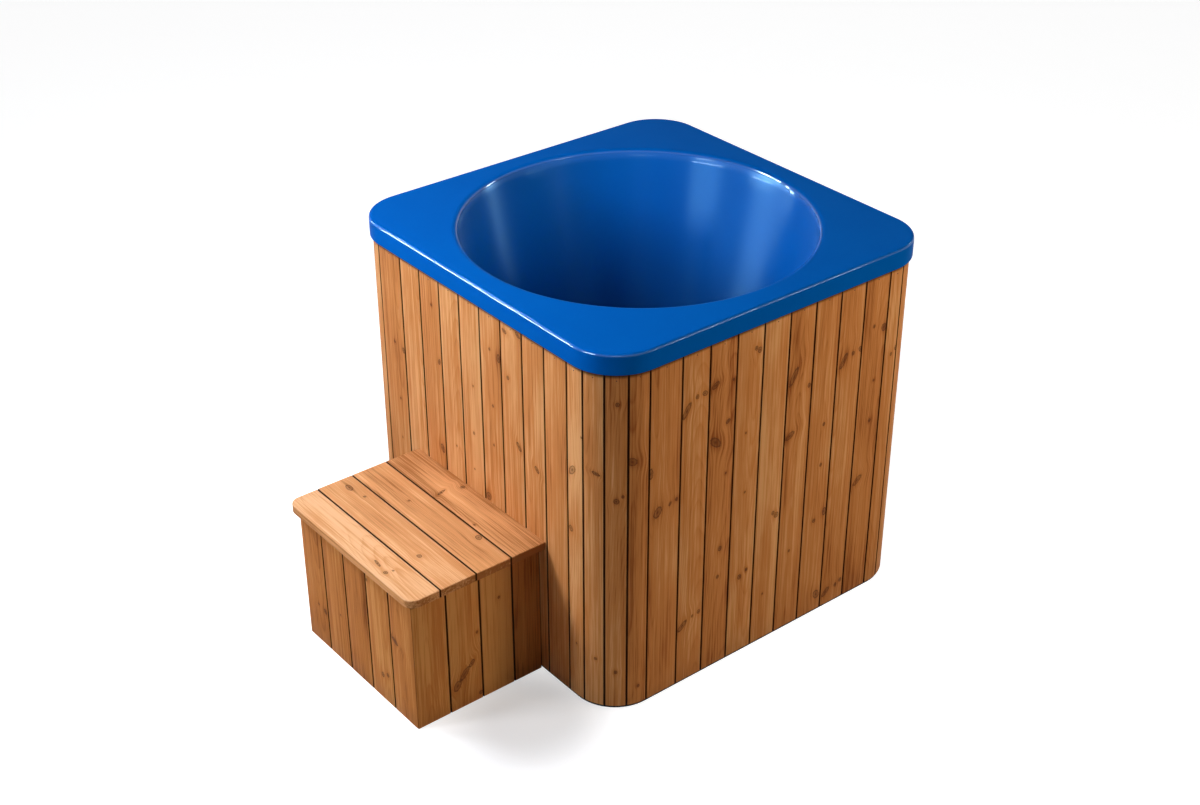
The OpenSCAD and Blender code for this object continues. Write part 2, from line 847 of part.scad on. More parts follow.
module step_tread(i) {
    from = tread_start(i) + (i == 0 ? -cut : tread_gap / 2);
    to = tread_start(i + 1) - (i == tread_count - 1 ? -cut : tread_gap / 2);
    color("sandybrown") difference() {
        translate([0, 0, tread_z]) linear_extrude(tread_t) intersection() {
            tread_outline();
            translate([-rim_half, from]) square([2 * rim_half, to - from]);
        }
        tread_screw_holes();
    }
}

// The tread screws come up through the front rail, and then through the side rails
module at_tread_screws() {
    for (side = [-1, 1]) translate([0, 0, tread_z - rail_w]) {
        translate([side * step_half / 2, front_post_y, 0]) children();
        for (i = [1:tread_count - 1])
            translate([side * post_x, (tread_start(i) + tread_start(i + 1)) / 2, 0]) children();
    }
}

module tread_screw_holes() {
    at_tread_screws() translate([0, 0, -cut])
        cylinder(h = rail_w + screw_bite + cut + screw_clear, r = screw_r + screw_clear, $fn = 24);
}

module tread_screws() {
    color("gainsboro") at_tread_screws() {
        cylinder(h = rail_w + screw_bite, r = screw_r, $fn = 24);
        translate([0, 0, -screw_head_t])
            cylinder(h = screw_head_t, r = screw_head_r, $fn = 24);
    }
}

module step_posts() {
    color("wheat") for (x = [-post_x, post_x], y = [front_post_y, back_post_y])
        translate([x, y, 0]) linear_extrude(tread_z) square(rail_w, center = true);
}

// Rails across the step, at the front and back, low and high
module step_cross_rails() {
    length = 2 * post_x - rail_w;
    color("wheat") difference() {
        for (y = [front_post_y, back_post_y], z = [0, tread_z - rail_w])
            translate([-length / 2, y - rail_w / 2, z]) cube([length, rail_w, rail_w]);
        tread_screw_holes();
    }
}

// Rails along the step's sides, low and high
module step_side_rails() {
    start = front_post_y + rail_w / 2;
    length = back_post_y - rail_w / 2 - start;
    color("wheat") difference() {
        for (x = [-post_x, post_x], z = [0, tread_z - rail_w])
            translate([x - rail_w / 2, start, z]) cube([rail_w, length, rail_w]);
        tread_screw_holes();
    }
}

module step_bearer() {
    start = front_post_y + rail_w / 2;
    length = back_post_y - rail_w / 2 - start;
    color("wheat") translate([-rail_w / 2, start, tread_z - rail_w])
        cube([rail_w, length, rail_w]);
}

tub_shell();
base_plate();
bottom_ring();
middle_ring();
top_ring();
rim_blocks();
corner_posts();
side_posts();
insulation_jacket();
floor_insulation();
for (k = [0:3]) cladding(k);
for (k = [0:3])
    corner_boards(k);
drain_strainer();
strainer_screw();
drain_body();
drain_gasket();
floor_gasket();
drain_locknut();
drain_elbow();
drain_pipe();
wall_plate();
plate_screws();
valve_body();
valve_seats();
valve_ball();
valve_stem();
packing_nut();
valve_lever();
lever_grip();
lever_nut();
hose_spigot();
step_front_boards();
step_left_boards();
step_right_boards();
for (i = [0:tread_count - 1]) step_tread(i);
step_posts();
step_cross_rails();
step_side_rails();
step_bearer();
tread_screws();
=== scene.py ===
import json
import logging
import math
import random
from dataclasses import dataclass, field, replace
from enum import Enum
from itertools import count, pairwise
from typing import Callable, Iterable, Iterator

import bmesh
import bpy
from mathutils import Matrix, Vector


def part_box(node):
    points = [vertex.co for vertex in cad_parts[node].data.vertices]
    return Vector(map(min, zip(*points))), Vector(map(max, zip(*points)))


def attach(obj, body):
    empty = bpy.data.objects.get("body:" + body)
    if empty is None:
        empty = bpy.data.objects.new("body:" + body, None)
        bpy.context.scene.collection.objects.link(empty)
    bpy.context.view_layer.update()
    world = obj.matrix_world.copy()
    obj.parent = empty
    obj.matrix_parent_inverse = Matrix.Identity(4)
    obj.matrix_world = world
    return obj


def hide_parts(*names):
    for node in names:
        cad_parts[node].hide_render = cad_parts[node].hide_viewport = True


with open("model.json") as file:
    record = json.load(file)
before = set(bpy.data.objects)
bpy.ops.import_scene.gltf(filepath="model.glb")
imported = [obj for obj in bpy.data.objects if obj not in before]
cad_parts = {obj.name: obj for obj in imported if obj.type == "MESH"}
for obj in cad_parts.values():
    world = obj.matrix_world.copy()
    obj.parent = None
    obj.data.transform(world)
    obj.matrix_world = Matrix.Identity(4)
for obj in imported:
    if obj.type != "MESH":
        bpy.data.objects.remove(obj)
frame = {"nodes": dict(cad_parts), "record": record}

LOG = logging.getLogger("plunge_tub")
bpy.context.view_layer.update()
UP = Vector((0, 0, 1))
# Points closer than this, in metres, count as one
NEAR = 1e-6

Place = Callable[[Vector], Vector]
Colour = tuple[float, float, float, float]
Socket = bpy.types.NodeSocket
Value = Socket | float | tuple[float, ...]
Vert = bmesh.types.BMVert
Edge = bmesh.types.BMEdge


def rgb(red: float, green: float, blue: float) -> Colour:
    """A colour socket's value from linear red, green and blue."""
    return (red, green, blue, 1.0)


def grey(level: float) -> Colour:
    """A colour socket's value for a linear grey level."""
    return rgb(level, level, level)


class Side(Enum):
    """The four sides of the casing, counted counterclockwise from the front."""

    FRONT = 0
    RIGHT = 1
    BACK = 2
    LEFT = 3

    @property
    def turn(self) -> Matrix:
        """Rotation that carries the front onto this side."""
        return Matrix.Rotation(self.value * math.pi / 2, 3, "Z")

    @property
    def following(self) -> "Side":
        """The next side counterclockwise."""
        return Side((self.value + 1) % len(Side))


class Graph:
    """A node tree with short calls for the nodes that the finishes use."""

    def __init__(self, tree: bpy.types.NodeTree) -> None:
        """Keeps the tree that the calls add to."""
        self.tree = tree

    def node(self, kind: str, **settings: object) -> bpy.types.Node:
        """Adds a node.

        Args:
            kind: Blender's name of the node type.
            **settings: Properties to set on it.

        Returns:
            The new node.
        """
        made = self.tree.nodes.new(kind)
        for name, value in settings.items():
            setattr(made, name, value)
        return made

    def feed(self, socket: Socket, value: Value) -> None:
        """Links a socket into another one, or sets its value."""
        if isinstance(value, Socket):
            self.tree.links.new(value, socket)
        else:
            socket.default_value = value

    def math(self, operation: str, *values: Value, clamp: bool = False) -> Socket:
        """Adds a Math node.

        Args:
            operation: The node's operation.
            *values: Its inputs, sockets or numbers.
            clamp: Whether the result is held between 0 and 1.

        Returns:
            The result's socket.
        """
        made = self.node("ShaderNodeMath", operation=operation, use_clamp=clamp)
        for socket, value in zip(made.inputs, values):
            self.feed(socket, value)
        return made.outputs[0]

    def add(self, *values: Value) -> Socket:
        """Sum of two or more values."""
        total = values[0]
        for value in values[1:]:
            total = self.math("ADD", total, value)
        return total

    def times(self, *values: Value) -> Socket:
        """Product of two or more values."""
        total = values[0]
        for value in values[1:]:
            total = self.math("MULTIPLY", total, value)
        return total

    def less(self, first: Value, second: Value) -> Socket:
        """The first value less the second."""
        return self.math("SUBTRACT", first, second)

    def over(self, first: Value, second: Value) -> Socket:
        """The first value divided by the second."""
        return self.math("DIVIDE", first, second)

    def most(self, first: Value, second: Value) -> Socket:
        """The greater of two values."""
        return self.math("MAXIMUM", first, second)

    def centred(self, value: Value, *factors: Value) -> Socket:
        """A value from 0 to 1 moved to lie round 0, times some factors."""
        return self.times(self.less(value, 0.5), *factors)

    def bell(self, value: Value, sharpness: float) -> Socket:
        """A bell curve that is 1 where the value is 0."""
        return self.math("EXPONENT", self.times(value, value, -sharpness))

    def length(self, first: Value, second: Value) -> Socket:
        """Length of a flat vector from its two parts."""
        return self.math("SQRT", self.add(self.times(first, first), self.times(second, second)))

    def split(self, vector: Value) -> tuple[Socket, ...]:
        """The three parts of a vector."""
        made = self.node("ShaderNodeSeparateXYZ")
        self.feed(made.inputs[0], vector)
        return tuple(made.outputs)

    def join(self, x: Value, y: Value, z: Value) -> Socket:
        """A vector from its three parts."""
        made = self.node("ShaderNodeCombineXYZ")
        for socket, value in zip(made.inputs, (x, y, z)):
            self.feed(socket, value)
        return made.outputs[0]

    def attribute(self, name: str, output: str = "Vector") -> Socket:
        """A named attribute of the mesh."""
        return self.node("ShaderNodeAttribute", attribute_name=name).outputs[output]

    def object_place(self) -> Socket:
        """The shaded point in the object's own space, which is the row frame."""
        return self.node("ShaderNodeTexCoord").outputs["Object"]

    def noise(self, vector: Value, scale: float, detail: float = 2.0, rough: float = 0.5) -> Socket:
        """Adds a noise texture.

        Args:
            vector: Where it is read.
            scale: Its scale.
            detail: Its detail.
            rough: Its roughness.

        Returns:
            The socket of its value, between 0 and 1.
        """
        made = self.node("ShaderNodeTexNoise")
        for name, value in (("Vector", vector), ("Scale", scale), ("Detail", detail), ("Roughness", rough)):
            self.feed(made.inputs[name], value)
        return made.outputs[0]

    def stretch(self, vector: Value, scale: tuple[float, float, float]) -> Socket:
        """A vector scaled by its own factor along each axis."""
        made = self.node("ShaderNodeVectorMath", operation="MULTIPLY")
        self.feed(made.inputs[0], vector)
        self.feed(made.inputs[1], scale)
        return made.outputs[0]

    def fade(
        self, value: Value, low: float, high: float, start: float = 0.0, end: float = 1.0
    ) -> Socket:
        """A smooth step.

        Args:
            value: What is mapped.
            low: Where the step begins.
            high: Where it ends.
            start: The result at and below low.
            end: The result at and above high.

        Returns:
            The result's socket.
        """
        made = self.node("ShaderNodeMapRange", interpolation_type="SMOOTHSTEP")
        for socket, number in zip(made.inputs, (value, low, high, start, end)):
            self.feed(socket, number)
        return made.outputs[0]

    def blend(self, factor: Value, first: Value, second: Value) -> Socket:
        """A colour between two others."""
        made = self.node("ShaderNodeMix", data_type="RGBA")
        for index, value in ((0, factor), (6, first), (7, second)):
            self.feed(made.inputs[index], value)
        return made.outputs[2]

    def ramp(self, factor: Value, stops: Iterable[tuple[float, float]]) -> Socket:
        """A curve through grey levels.

        Args:
            factor: Where the curve is read, from 0 to 1.
            stops: Its positions and their grey levels.

        Returns:
            The socket of the level.
        """
        made = self.node("ShaderNodeValToRGB")
        self.feed(made.inputs[0], factor)
        elements = made.color_ramp.elements
        for index, (position, level) in enumerate(stops):
            stop = elements[index] if index < 2 else elements.new(position)
            stop.position = position
            stop.color = grey(level)
        return made.outputs[0]

    def bump(self, height: Value, distance: float, strength: float = 1.0) -> Socket:
        """A normal bent by a height in units of the distance given."""
        made = self.node("ShaderNodeBump")
        for name, value in (("Strength", strength), ("Distance", distance), ("Height", height)):
            self.feed(made.inputs[name], value)
        return made.outputs[0]

    def place_group(self, group: bpy.types.NodeTree, **values: Value) -> bpy.types.Node:
        """Adds a node group.

        Args:
            group: The group to place.
            **values: Its inputs, with underscores for the blanks in their names.

        Returns:
            The group's node.
        """
        made = self.node("ShaderNodeGroup", node_tree=group)
        for name, value in values.items():
            self.feed(made.inputs[name.replace("_", " ")], value)
        return made


def new_group(
    name: str, inputs: dict[str, float | Colour], outputs: Iterable[str]
) -> tuple[Graph, dict[str, Socket], dict[str, Socket]]:
    """Starts a shader node group.

    Args:
        name: The group's name.
        inputs: Its inputs with their first values. A tuple is a colour.
        outputs: Its outputs. Color is a colour, and the rest are numbers.

    Returns:
        The group's graph, its input sockets by name and its output sockets by name.
    """
    tree = bpy.data.node_groups.new(name, "ShaderNodeTree")
    for label, value in inputs.items():
        kind = "NodeSocketColor" if isinstance(value, tuple) else "NodeSocketFloat"
        tree.interface.new_socket(name=label, in_out="INPUT", socket_type=kind).default_value = value
    for label in outputs:
        kind = "NodeSocketColor" if label == "Color" else "NodeSocketFloat"
        tree.interface.new_socket(name=label, in_out="OUTPUT", socket_type=kind)
    graph = Graph(tree)
    start = graph.node("NodeGroupInput")
    end = graph.node("NodeGroupOutput")
    return graph, {s.name: s for s in start.outputs if s.name}, {s.name: s for s in end.inputs if s.name}


class BoardWood:
    """The shared look of an oiled softwood board, read from what the board's mesh carries.

    The mesh gives each point its place in the board (across, inwards, along), and each face
    the board's seed, tone and pith, and the nearest knots.
    """

    KNOTS = ("knot_a", "knot_b", "knot_c")
    INPUTS = {
        "Pale": rgb(0.7, 0.38, 0.17),
        "Warm": rgb(0.55, 0.24, 0.08),
        "Dark": rgb(0.3, 0.1, 0.03),
        "Knot": rgb(0.1, 0.04, 0.02),
        # Colour of the joints, which also paints the shade below a covering piece
        "Joint": rgb(0.03, 0.012, 0.006),
        "Ring Width": 0.0035,
        "Ring Contrast": 0.3,
        "Fibre Contrast": 0.5,
        "Patch Contrast": 0.4,
        "Level": 0.45,
        # Height of a piece over the boards' tops, below which shade is painted on them
        "Cover Height": 10.0,
    }
    SEED_STEP = 17.0

    # Each kind of grain: scale across and inwards, scale along, detail and roughness of its noise
    STREAKS = (150.0, 1.9, 5.0, 0.6)
    FIBRES = (760.0, 11.0, 3.0, 0.6)
    PATCHES = (16.0, 3.2, 3.0, 0.55)

    # How strongly each of them counts in the wood's level
    STREAK_SHARE = 2.2
    FIBRE_SHARE = 0.9
    PATCH_SHARE = 2.0
    HALO_SHARE = 0.26
    SIDE_SHARE = 0.55

    # A year ring from early to late wood: position and darkness, and the mean of the darkness
    YEAR = ((0.0, 0.55), (1.0, 0.75), (0.1, 0.1), (0.45, 0.12), (0.8, 0.55), (0.94, 1.0))
    YEAR_MEAN = 0.35
    # How far the rings wander, and the scales of that across and along
    WANDER = (0.03, 7.0, 1.7)

    # Where a board's sides begin to darken and where they are dark, in metres behind its face
    SIDE_DEPTH = (0.0015, 0.004)
    # The same at a joint, in metres from the board's edge
    JOINT_REACH = (0.0013, 0.0027)
    JOINT_DARK = 0.95
    # Painted shade below a piece that covers the boards' tops: how far down it reaches and how dark it is
    COVER_REACH = 0.01
    COVER_DARK = 0.8

    # Levels at which the pale wood has turned warm, and the warm wood dark
    WARM_LEVEL = 0.5
    DARK_LEVEL = 1.1

    # A knot's ragged outline, the swerve of the grain round it, and its rim and heart
    RAGGED = (230.0, 9.0, 0.45)
    SWELL = 0.16
    SWERVE = 0.55
    KNOT_EDGE = (0.82, 1.0)
    KNOT_SIZES = (0.004, 0.011)
    BIG_KNOT_STRENGTH = 0.74
    KNOT_SHARE = (0.36, 0.6)
    RIM = (0.8, 45.0)
    HEART = 12.0

    # Roughness: level, and what fibres, rings and knots add
    SHEEN = (0.46, 0.16, -0.06, -0.08)
    # Height: what rings, streaks, fibres and knots add
    RELIEF = (0.4, 0.5, 0.5, -0.5)

    @classmethod
    def group(cls) -> bpy.types.NodeTree:
        """Builds the node group once.

        Returns:
            The group, which puts out a colour, a roughness and a height.
        """
        known = bpy.data.node_groups.get("board_wood")
        if known:
            return known
        graph, given, result = new_group("board_wood", cls.INPUTS, ("Color", "Roughness", "Height"))
        across, inwards, along = graph.split(graph.attribute("grain"))
        seed = graph.attribute("board_seed", "Fac")
        tone = graph.attribute("board_tone", "Fac")
        swerve, core, halo, knot_dark = cls._knots(graph, across, along, seed)
        place = (graph.less(across, swerve), inwards, along)
        seeded = graph.times(seed, cls.SEED_STEP)
        ring = cls._rings(graph, place, seeded, given["Ring Width"])
        streak, fibre, patch = (
            cls._grain(graph, place, seeded, kind) for kind in (cls.STREAKS, cls.FIBRES, cls.PATCHES)
        )
        level = graph.add(
            given["Level"],
            tone,
            graph.times(graph.less(ring, cls.YEAR_MEAN), given["Ring Contrast"]),
            graph.centred(streak, given["Fibre Contrast"], cls.STREAK_SHARE),
            graph.centred(fibre, given["Fibre Contrast"], cls.FIBRE_SHARE),
            graph.centred(patch, given["Patch Contrast"], cls.PATCH_SHARE),
            graph.times(halo, cls.HALO_SHARE),
            graph.times(graph.fade(inwards, *cls.SIDE_DEPTH), cls.SIDE_SHARE),
        )
        pale_part = graph.fade(level, 0.0, cls.WARM_LEVEL)
        dark_part = graph.fade(level, cls.WARM_LEVEL, cls.DARK_LEVEL)
        colour = graph.blend(dark_part, graph.blend(pale_part, given["Pale"], given["Warm"]), given["Dark"])
        plain, darker = cls.KNOT_SHARE
        knot_share = graph.times(core, graph.add(plain, graph.times(knot_dark, darker)))
        colour = graph.blend(knot_share, colour, given["Knot"])
        # Painted shade: the boards darken to the joint colour just below a covering piece
        below = graph.less(given["Cover Height"], graph.split(graph.object_place())[2])
        painted_cover_shade = graph.times(graph.fade(below, 0.0, cls.COVER_REACH, 1.0, 0.0), cls.COVER_DARK)
        joint_and_painted_shade = graph.most(cls._joint(graph, across), painted_cover_shade)
        graph.feed(result["Color"], graph.blend(joint_and_painted_shade, colour, given["Joint"]))
        base, *sheen = cls.SHEEN
        gloss = graph.add(base, *(graph.times(*pair) for pair in zip((fibre, ring, core), sheen)))
        graph.feed(result["Roughness"], graph.most(gloss, joint_and_painted_shade))
        relief = graph.add(*(graph.times(*pair) for pair in zip((ring, streak, fibre, core), cls.RELIEF)))
        graph.feed(result["Height"], relief)
        return graph.tree

    @classmethod
    def _rings(cls, graph: Graph, place: tuple[Value, ...], seeded: Value, width: Value) -> Value:
        """Adds the nodes of the year rings, which lie round the board's pith.

        Args:
            graph: The graph to add to.
            place: Place across, inwards and along the board.
            seeded: The board's own shift of the noise.
            width: Width of a ring.

        Returns:
            How dark the ring is, from 0 to 1.
        """
        across, inwards, along = place
        pith_across, pith_inwards, slope = graph.split(graph.attribute("board_pith"))
        reach, wide, far = cls.WANDER
        wander = graph.noise(graph.join(graph.times(across, wide), seeded, graph.times(along, far)), 1.0)
        depth = graph.add(inwards, pith_inwards, graph.times(slope, along), graph.times(wander, reach))
        radius = graph.length(graph.less(across, pith_across), depth)
        return graph.ramp(graph.math("FRACT", graph.over(radius, width)), cls.YEAR)

    @staticmethod
    def _grain(graph: Graph, place: tuple[Value, ...], seeded: Value, kind: tuple[float, ...]) -> Value:
        """Adds a noise that is drawn out along the grain.

        Args:
            graph: The graph to add to.
            place: Place across, inwards and along the board.
            seeded: The board's own shift of the noise.
            kind: Its two scales, its detail and its roughness.

        Returns:
            The noise, from 0 to 1.
        """
        across, inwards, along = place
        fine, long, detail, rough = kind
        shifted = graph.add(graph.times(inwards, fine), seeded)
        at = graph.join(graph.times(across, fine), shifted, graph.times(along, long))
        return graph.noise(at, 1.0, detail, rough)

    @classmethod
    def _joint(cls, graph: Graph, across: Value) -> Value:
        """Adds the nodes that darken a board towards its joints.

        Args:
            graph: The graph to add to.
            across: Place across the board.

        Returns:
            How dark the joint is, from 0 to 1.
        """
        low, high, width = graph.split(graph.attribute("board_joints"))
        at_low = graph.times(low, graph.fade(across, *cls.JOINT_REACH, 1.0, 0.0))
        at_high = graph.times(high, graph.fade(graph.less(width, across), *cls.JOINT_REACH, 1.0, 0.0))
        return graph.times(graph.most(at_low, at_high), cls.JOINT_DARK)

    @classmethod
    def _knots(
        cls, graph: Graph, across: Value, along: Value, seed: Value
    ) -> tuple[Value, Value, Value, Value]:
        """Adds the nodes of the knots near the shaded point.

        Args:
            graph: The graph to add to.
            across: Place across the board.
            along: Place along the board.
            seed: The board's seed.

        Returns:
            How far the grain swerves, the knots' mask, the mask of the wood round them, and the
            dark of the knots' hearts and edges.
        """
        swerve: Value = 0.0
        core: Value = 0.0
        halo: Value = 0.0
        dark: Value = 0.0
        fine, seed_step, ragged_reach = cls.RAGGED
        rim, rim_sharpness = cls.RIM
        ragged_at = (graph.times(across, fine), graph.times(seed, seed_step), graph.times(along, fine))
        ragged = graph.noise(graph.join(*ragged_at), 1.0)
        for name in cls.KNOTS:
            knot_u, knot_v, size = graph.split(graph.attribute(name))
            cosine, sine, long = graph.split(graph.attribute(name + "_form"))
            off_u = graph.less(across, knot_u)
            off_v = graph.less(along, knot_v)
            short_way = graph.add(graph.times(off_u, cosine), graph.times(off_v, sine))
            long_way = graph.less(graph.times(off_v, cosine), graph.times(off_u, sine))
            far = graph.over(graph.length(short_way, graph.over(long_way, long)), size)
            far = graph.add(far, graph.centred(ragged, ragged_reach))
            swell = graph.bell(far, cls.SWELL)
            swerve = graph.add(swerve, graph.times(off_u, swell, cls.SWERVE))
            strength = graph.fade(size, *cls.KNOT_SIZES, 1.0, cls.BIG_KNOT_STRENGTH)
            core = graph.most(core, graph.times(graph.fade(far, *cls.KNOT_EDGE, 1.0, 0.0), strength))
            halo = graph.most(halo, graph.times(swell, swell))
            edge = graph.bell(graph.less(far, rim), rim_sharpness)
            dark = graph.most(dark, graph.most(edge, graph.bell(far, cls.HEART)))
        return swerve, core, halo, dark


class Mottle:
    """The shared look of surfaces that vary a little in colour, gloss and height."""

    INPUTS = {
        "Main": grey(0.5),
        "Second": grey(0.4),
        "Scale": 12.0,
        "Contrast": 0.5,
        "Roughness": 0.4,
        "Roughness Spread": 0.1,
    }

    # Detail and roughness of the broad and the fine noise
    BROAD = (4.0, 0.55)
    FINE = (2.0, 0.6)
    # How much finer the fine noise is, and how strongly it counts in the colour and the height
    FINER = 14.0
    FINE_SHARE = 0.6
    FINE_HEIGHT = 0.7

    @classmethod
    def group(cls) -> bpy.types.NodeTree:
        """Builds the node group once.

        Returns:
            The group, which puts out a colour, a roughness and a height.
        """
        known = bpy.data.node_groups.get("surface_mottle")
        if known:
            return known
        graph, given, result = new_group("surface_mottle", cls.INPUTS, ("Color", "Roughness", "Height"))
        place = graph.object_place()
        broad = graph.noise(place, given["Scale"], *cls.BROAD)
        fine = graph.noise(place, graph.times(given["Scale"], cls.FINER), *cls.FINE)
        share = graph.add(0.5, graph.centred(broad, given["Contrast"], 2.0))
        fine_share = graph.centred(fine, given["Contrast"], cls.FINE_SHARE)
        share = graph.math("ADD", share, fine_share, clamp=True)
        graph.feed(result["Color"], graph.blend(share, given["Main"], given["Second"]))
        spread = graph.centred(broad, given["Roughness Spread"], 2.0)
        graph.feed(result["Roughness"], graph.add(given["Roughness"], spread))
        height = graph.add(graph.times(fine, cls.FINE_HEIGHT), graph.times(broad, 1.0 - cls.FINE_HEIGHT))
        graph.feed(result["Height"], height)
        return graph.tree


@dataclass(frozen=True)
class Finish:
    """What every finish has: a name and the shader's plain values."""

    name: str
    specular: float = 0.5
    metallic: float = 0.0

    def start(self) -> tuple[bpy.types.Material, Graph, bpy.types.Node]:
        """Starts the material.

        Returns:
            The material, its graph and its shader node.
        """
        material = bpy.data.materials.new(self.name)
        material.use_nodes = True
        graph = Graph(material.node_tree)
        graph.tree.nodes.clear()
        shader = graph.node("ShaderNodeBsdfPrincipled")
        output = graph.node("ShaderNodeOutputMaterial")
        graph.feed(output.inputs["Surface"], shader.outputs[0])
        shader.inputs["Specular IOR Level"].default_value = self.specular
        shader.inputs["Metallic"].default_value = self.metallic
        return material, graph, shader


@dataclass(frozen=True)
class BoardFinish(Finish):
    """Oiled boards of the casing and the step."""

    pale: Colour = rgb(0.72, 0.355, 0.135)
    warm: Colour = rgb(0.565, 0.215, 0.06)
    dark: Colour = rgb(0.27, 0.074, 0.016)
    knot: Colour = rgb(0.07, 0.03, 0.014)
    # Colour of the joints, also used for the painted shade below a covering piece
    joint: Colour = rgb(0.03, 0.01, 0.003)
    ring_width: float = 0.0035
    ring_contrast: float = 0.2
    fibre_contrast: float = 0.72
    patch_contrast: float = 0.6
    level: float = 0.42
    relief: float = 0.00022
    # Height of a covering piece, below which shade is painted on the boards; 10 keeps it off
    cover_height: float = 10.0

    def material(self) -> bpy.types.Material:
        """Builds the material."""
        material, graph, shader = self.start()
        wood = graph.place_group(
            BoardWood.group(),
            Pale=self.pale,
            Warm=self.warm,
            Dark=self.dark,
            Knot=self.knot,
            Joint=self.joint,
            Ring_Width=self.ring_width,
            Ring_Contrast=self.ring_contrast,
            Fibre_Contrast=self.fibre_contrast,
            Patch_Contrast=self.patch_contrast,
            Level=self.level,
            Cover_Height=self.cover_height,
        )
        graph.feed(shader.inputs["Base Color"], wood.outputs["Color"])
        graph.feed(shader.inputs["Roughness"], wood.outputs["Roughness"])
        graph.feed(shader.inputs["Normal"], graph.bump(wood.outputs["Height"], self.relief))
        return material


@dataclass(frozen=True)
class MottleFinish(Finish):
    """Plastic, rubber, foam and metal."""

    main: Colour = grey(0.5)
    second: Colour = grey(0.45)
    scale: float = 12.0
    contrast: float = 0.5
    roughness: float = 0.4
    roughness_spread: float = 0.08
    relief: float = 0.0001

    def mottled(self) -> tuple[bpy.types.Material, Graph, bpy.types.Node, Socket]:
        """Starts the material with the mottle on it.

        Returns:
            The material, its graph, its shader node and the mottle's colour.
        """
        material, graph, shader = self.start()
        mottle = graph.place_group(
            Mottle.group(),
            Main=self.main,
            Second=self.second,
            Scale=self.scale,
            Contrast=self.contrast,
            Roughness=self.roughness,
            Roughness_Spread=self.roughness_spread,
        )
        colour = mottle.outputs["Color"]
        graph.feed(shader.inputs["Base Color"], colour)
        graph.feed(shader.inputs["Roughness"], mottle.outputs["Roughness"])
        graph.feed(shader.inputs["Normal"], graph.bump(mottle.outputs["Height"], self.relief))
        return material, graph, shader, colour

    def material(self) -> bpy.types.Material:
        """Builds the material."""
        return self.mottled()[0]


@dataclass(frozen=True)
class TimberFinish(Finish):
    """Planed timber and plywood inside the casing and the step.

    The grain is a noise's scale along each axis, and the levels are where it turns from pale to dark.
    """

    pale: Colour = rgb(0.76, 0.57, 0.36)
    dark: Colour = rgb(0.55, 0.35, 0.18)
    grain: tuple[float, float, float] = (160.0, 160.0, 6.0)
    detail: float = 4.0
    rough: float = 0.6
    levels: tuple[float, float] = (0.3, 0.7)
    roughness: tuple[float, float] = (0.55, 0.75)
    relief: float = 0.0003

    def material(self) -> bpy.types.Material:
        """Builds the material."""
        material, graph, shader = self.start()
        place = graph.stretch(graph.object_place(), self.grain)
        lines = graph.noise(place, 1.0, self.detail, self.rough)
        share = graph.fade(lines, *self.levels)
        graph.feed(shader.inputs["Base Color"], graph.blend(share, self.pale, self.dark))
        graph.feed(shader.inputs["Roughness"], graph.fade(lines, 0.0, 1.0, *self.roughness))
        graph.feed(shader.inputs["Normal"], graph.bump(lines, self.relief))
        return material


@dataclass(frozen=True)
class Knot:
    """A knot on a wall of boards: its place along the wall, its height and its size."""

    s: float
    z: float
    r: float
    lean: float = 0.0
    long: float = 1.25

    def moved(self, s: float, z: float = 0.0) -> "Knot":
        """The same knot moved along and up the wall."""
        return replace(self, s=self.s + s, z=self.z + z)


def knots(*rows: tuple[float, ...]) -> tuple[Knot, ...]:
    """Knots from rows of their place along the wall, height, radius, lean and length."""
    return tuple(Knot(*row) for row in rows)


